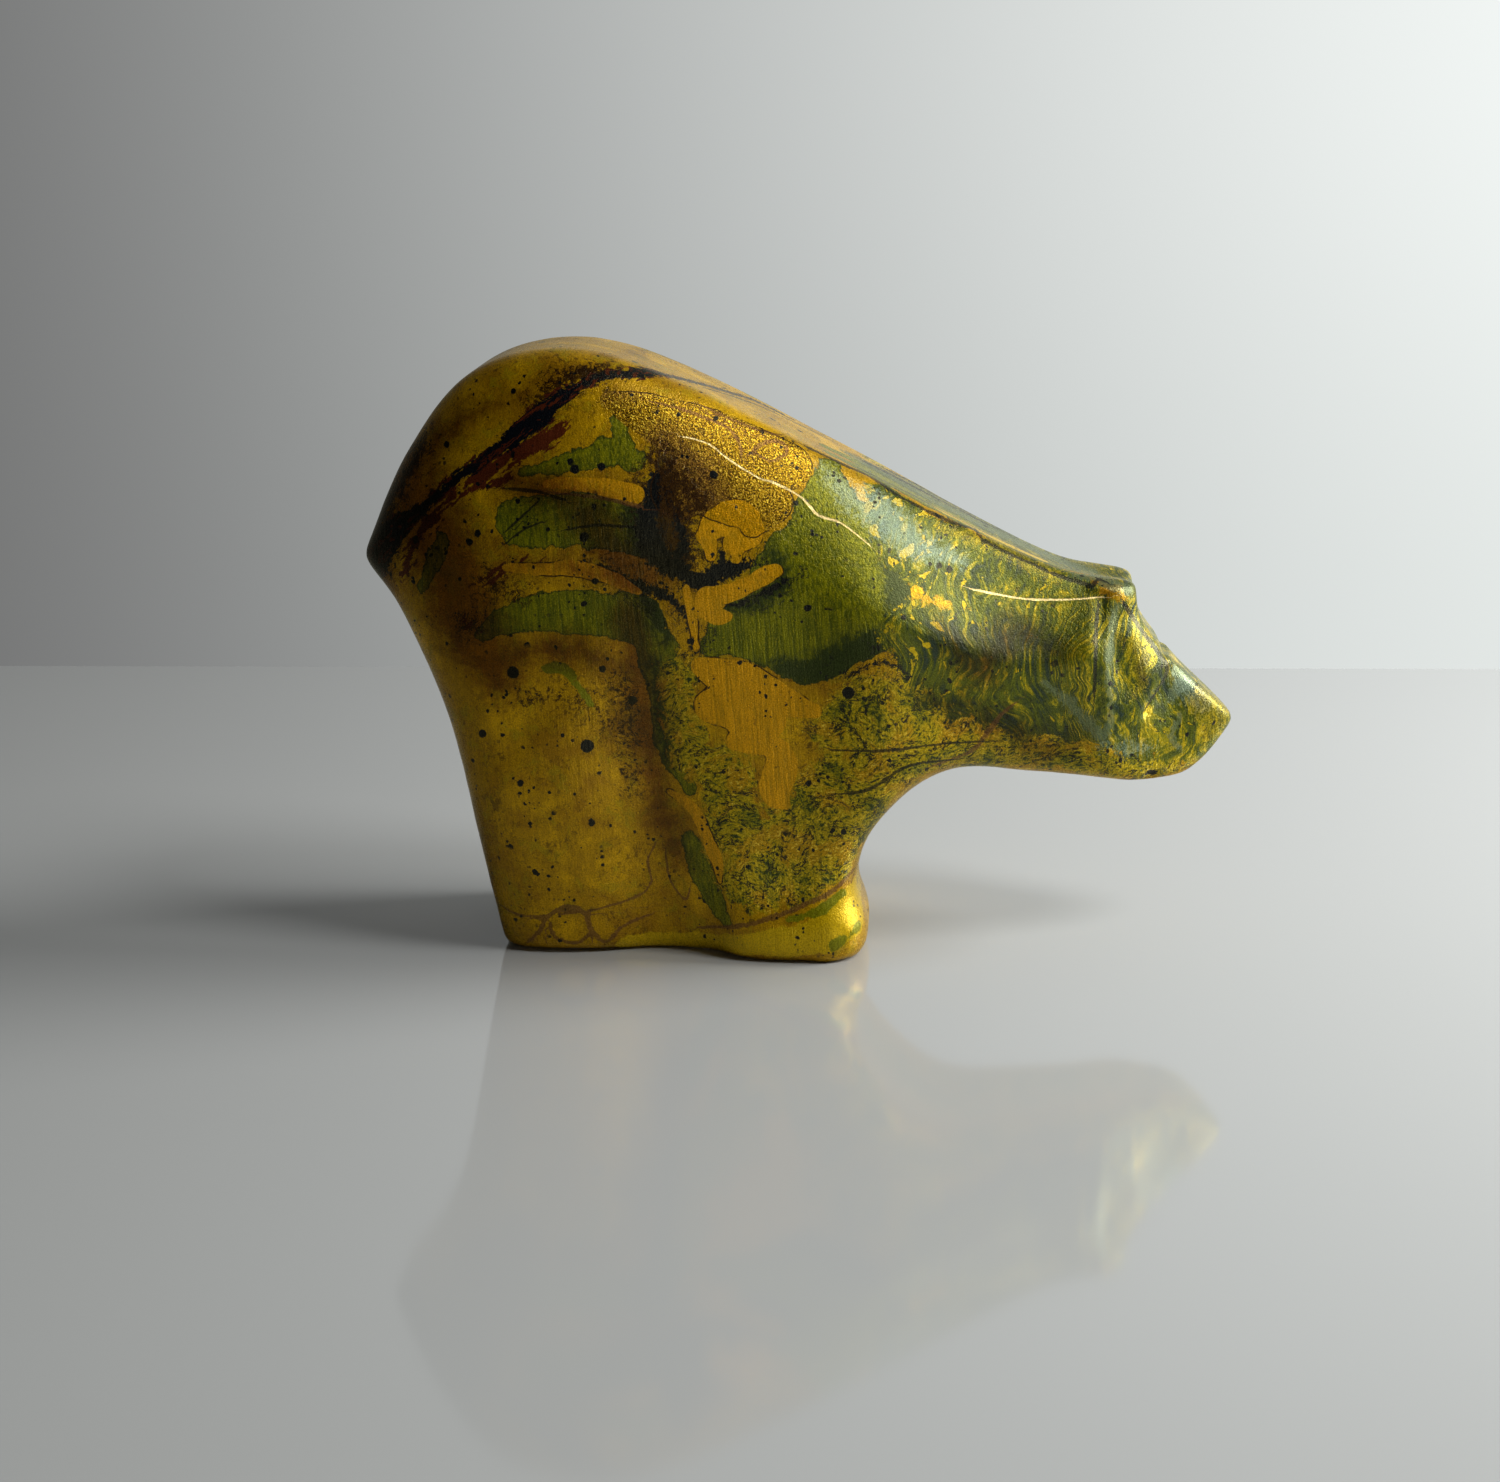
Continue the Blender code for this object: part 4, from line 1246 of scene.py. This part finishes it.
    def build(self) -> bpy.types.Material:
        """Builds the material.

        Returns:
            The material.
        """
        board, finish = self.board, self.finish
        colour = self.ground()
        for coat in (self.leaves, self.gilding, self.blots, self.islands, self.inks):
            colour = coat(colour)
        brush = board.math("MULTIPLY_ADD", self.streaks, 0.9, 0.55)
        shade = board.math("MULTIPLY", brush, board.math("MULTIPLY_ADD", self.sparkle, 0.5, 0.75))
        # Painted shade: the colour darkens towards the painted-shade tint inside the shade strokes.
        painted_shade_depth = board.math("ADD", self.depth(Paint.SHADE, 2.0, 2.5), self.centred(self.streaks, 1.5))
        painted_shade = board.mix(board.step(painted_shade_depth, -3.0, 3.0), (1.0, 1.0, 1.0, 1.0), finish.painted_shade)
        colour = board.vector("MULTIPLY", colour, painted_shade)
        shaded = board.node("ShaderNodeVectorMath", {0: colour, 3: shade}, operation="SCALE").outputs[0]
        gilt = board.step(board.field(Paint.GILT.value), -0.5, 0.5)
        metal = board.math("MULTIPLY_ADD", gilt, finish.gilt_mica, finish.mica)
        rough = board.math("MULTIPLY_ADD", self.sparkle, 0.3, finish.roughness - 0.15)
        height = board.math("MULTIPLY_ADD", self.streaks, 0.8, board.math("MULTIPLY", self.sparkle, 0.7))
        height = board.math("MULTIPLY_ADD", self.drawn(Paint.SCRATCH, 1.2), -0.6, height)
        bump = board.node("ShaderNodeBump", {
            "Height": height, "Strength": finish.bump_strength, "Distance": finish.bump_depth})
        shader = board.node("ShaderNodeBsdfPrincipled", {
            "Base Color": shaded, "Roughness": rough, "Metallic": metal, "Normal": bump.outputs[0],
            "Specular IOR Level": finish.specular, "Specular Tint": finish.glint})
        board.node("ShaderNodeOutputMaterial", {0: shader.outputs[0]})
        return self.material


@dataclass(frozen=True)
class Cut:
    """One touch of the file: a stroke that goes into the stone, or less than nought for a swelling.

    The depth is in millimetres.
    """

    stroke: Stroke
    depth: float


FLANK_CUTS = (
    ("crease behind the cheek", 0.35, ((37.4, 44, 1.2), (37, 38, 1.4), (36.8, 32, 1.2))),
    ("cheek", -0.45, ((41, 39, 3.4), (42.4, 35.6, 3.4))),
    ("notch under the brow", 0.4, ((46.6, 34.6, 1.3), (45, 32.4, 1.4), (43, 30, 1.2))),
    ("ear", -0.3, ((36, 45.4, 0.8), (39, 45.2, 1.4))),
    ("pit", 0.5, ((43.6, 21.8, 0.9), (44.2, 21.8, 0.9))),
    ("toe", 0.3, ((5.4, 1.6, 0.6), (8.6, 4.2, 0.6))),
)
TOP_CUTS = (
    ("notch above the muzzle", 0.45, ((45.4, -5, 1.2), (45.8, 0, 1.3), (45.4, 5, 1.2))),
)
CUTS = tuple(
    Cut(Stroke(name, Paint.INK, side, points), depth)
    for side, touches in ((Side.NEAR, FLANK_CUTS), (Side.FAR, FLANK_CUTS), (Side.TOP, TOP_CUTS))
    for name, depth, points in touches
)


@dataclass
class DressedBear:
    """The bear's own surface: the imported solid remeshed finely, smoothed, with its fine carving."""

    voxel: float = 0.485 * MM
    smoothing: int = 14
    smoothing_share: float = 0.5
    merging: float = 0.01 * MM
    waviness: float = 0.05 * MM
    wave_length: float = 5.0 * MM
    finish: MarbledFinish = field(default_factory=MarbledFinish)

    def copied_solid(self) -> bpy.types.Object:
        """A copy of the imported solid, with its loose triangles merged.

        Returns:
            The copy.
        """
        bpy.ops.object.select_all(action="DESELECT")
        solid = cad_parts["bear"]
        piece = bpy.data.objects.new("carved_bear", solid.data.copy())
        bpy.context.scene.collection.objects.link(piece)
        piece.select_set(True)
        bpy.context.view_layer.objects.active = piece
        bpy.ops.object.mode_set(mode="EDIT")
        bpy.ops.mesh.select_all(action="SELECT")
        bpy.ops.mesh.remove_doubles(threshold=self.merging)
        bpy.ops.object.mode_set(mode="OBJECT")
        piece.data.materials.clear()
        return piece

    def applied(self, piece: bpy.types.Object, kind: str, **settings: Any) -> None:
        """Applies a modifier to the piece.

        Args:
            piece: The piece.
            kind: The modifier's Blender type.
            settings: The modifier's settings.
        """
        modifier = piece.modifiers.new(kind.lower(), kind)
        for name, value in settings.items():
            setattr(modifier, name, value)
        bpy.ops.object.modifier_apply(modifier=modifier.name)

    def filed(self, piece: bpy.types.Object, carve: Callable[[np.ndarray], np.ndarray]) -> None:
        """Moves the piece's vertices along their normals.

        Args:
            piece: The piece.
            carve: Gives how far each place moves out, in metres.
        """
        mesh = piece.data
        count = len(mesh.vertices)
        places, normals = np.empty(count * 3), np.empty(count * 3)
        mesh.vertices.foreach_get("co", places)
        mesh.vertex_normals.foreach_get("vector", normals)
        places, normals = places.reshape(-1, 3), normals.reshape(-1, 3)
        places += normals * carve(places)[:, None]
        places = np.clip(places, CAD_BOX[0], CAD_BOX[1])
        mesh.vertices.foreach_set("co", places.ravel())
        mesh.update()

    def waves(self, places: np.ndarray) -> np.ndarray:
        """The slight waves that filing by hand leaves."""
        scaled = places / self.wave_length
        return self.waviness * np.array([noise.noise(Vector(p)) for p in scaled])

    def cuts(self, piece: bpy.types.Object) -> Callable[[np.ndarray], np.ndarray]:
        """What the cuts take away.

        Args:
            piece: The piece, as it is before the cuts.

        Returns:
            A function that gives how far each place moves out, in metres.
        """
        layers = PaintLayers()
        stone = BVHTree.FromObject(piece, bpy.context.evaluated_depsgraph_get())
        laid = [(layers.laid(cut.stroke, stone), cut.depth) for cut in CUTS]

        def carve(places: np.ndarray) -> np.ndarray:
            """What the cuts do to each place.

            Args:
                places: The places in metres.

            Returns:
                How far each moves out, in metres.
            """
            moved = np.zeros(len(places))
            for rows, depth in laid:
                share = np.clip(layers.inside(places / MM, rows) / rows[:, 3].mean(), 0.0, 1.0)
                moved -= depth * MM * share * share * (3.0 - 2.0 * share)
            return moved

        return carve

    def build(self) -> bpy.types.Object:
        """Builds the dressed bear.

        Returns:
            The piece.
        """
        piece = self.copied_solid()
        self.applied(piece, "REMESH", mode="VOXEL", voxel_size=self.voxel)
        self.applied(piece, "SMOOTH", factor=self.smoothing_share, iterations=self.smoothing)
        self.filed(piece, self.waves)
        self.filed(piece, self.cuts(piece))
        bpy.ops.object.shade_smooth()
        PaintLayers().paint(piece)
        piece.data.materials.append(MarbledStone(self.finish).build())
        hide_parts("bear")
        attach(piece, "root")
        LOG.info("%s: %d faces", piece.name, len(piece.data.polygons))
        return piece


def main() -> None:
    """Builds the studio and the bear."""
    logging.basicConfig(level=logging.INFO, format="%(name)s %(message)s")
    Studio().build()
    DressedBear().build()


if __name__ == "__main__":
    main()
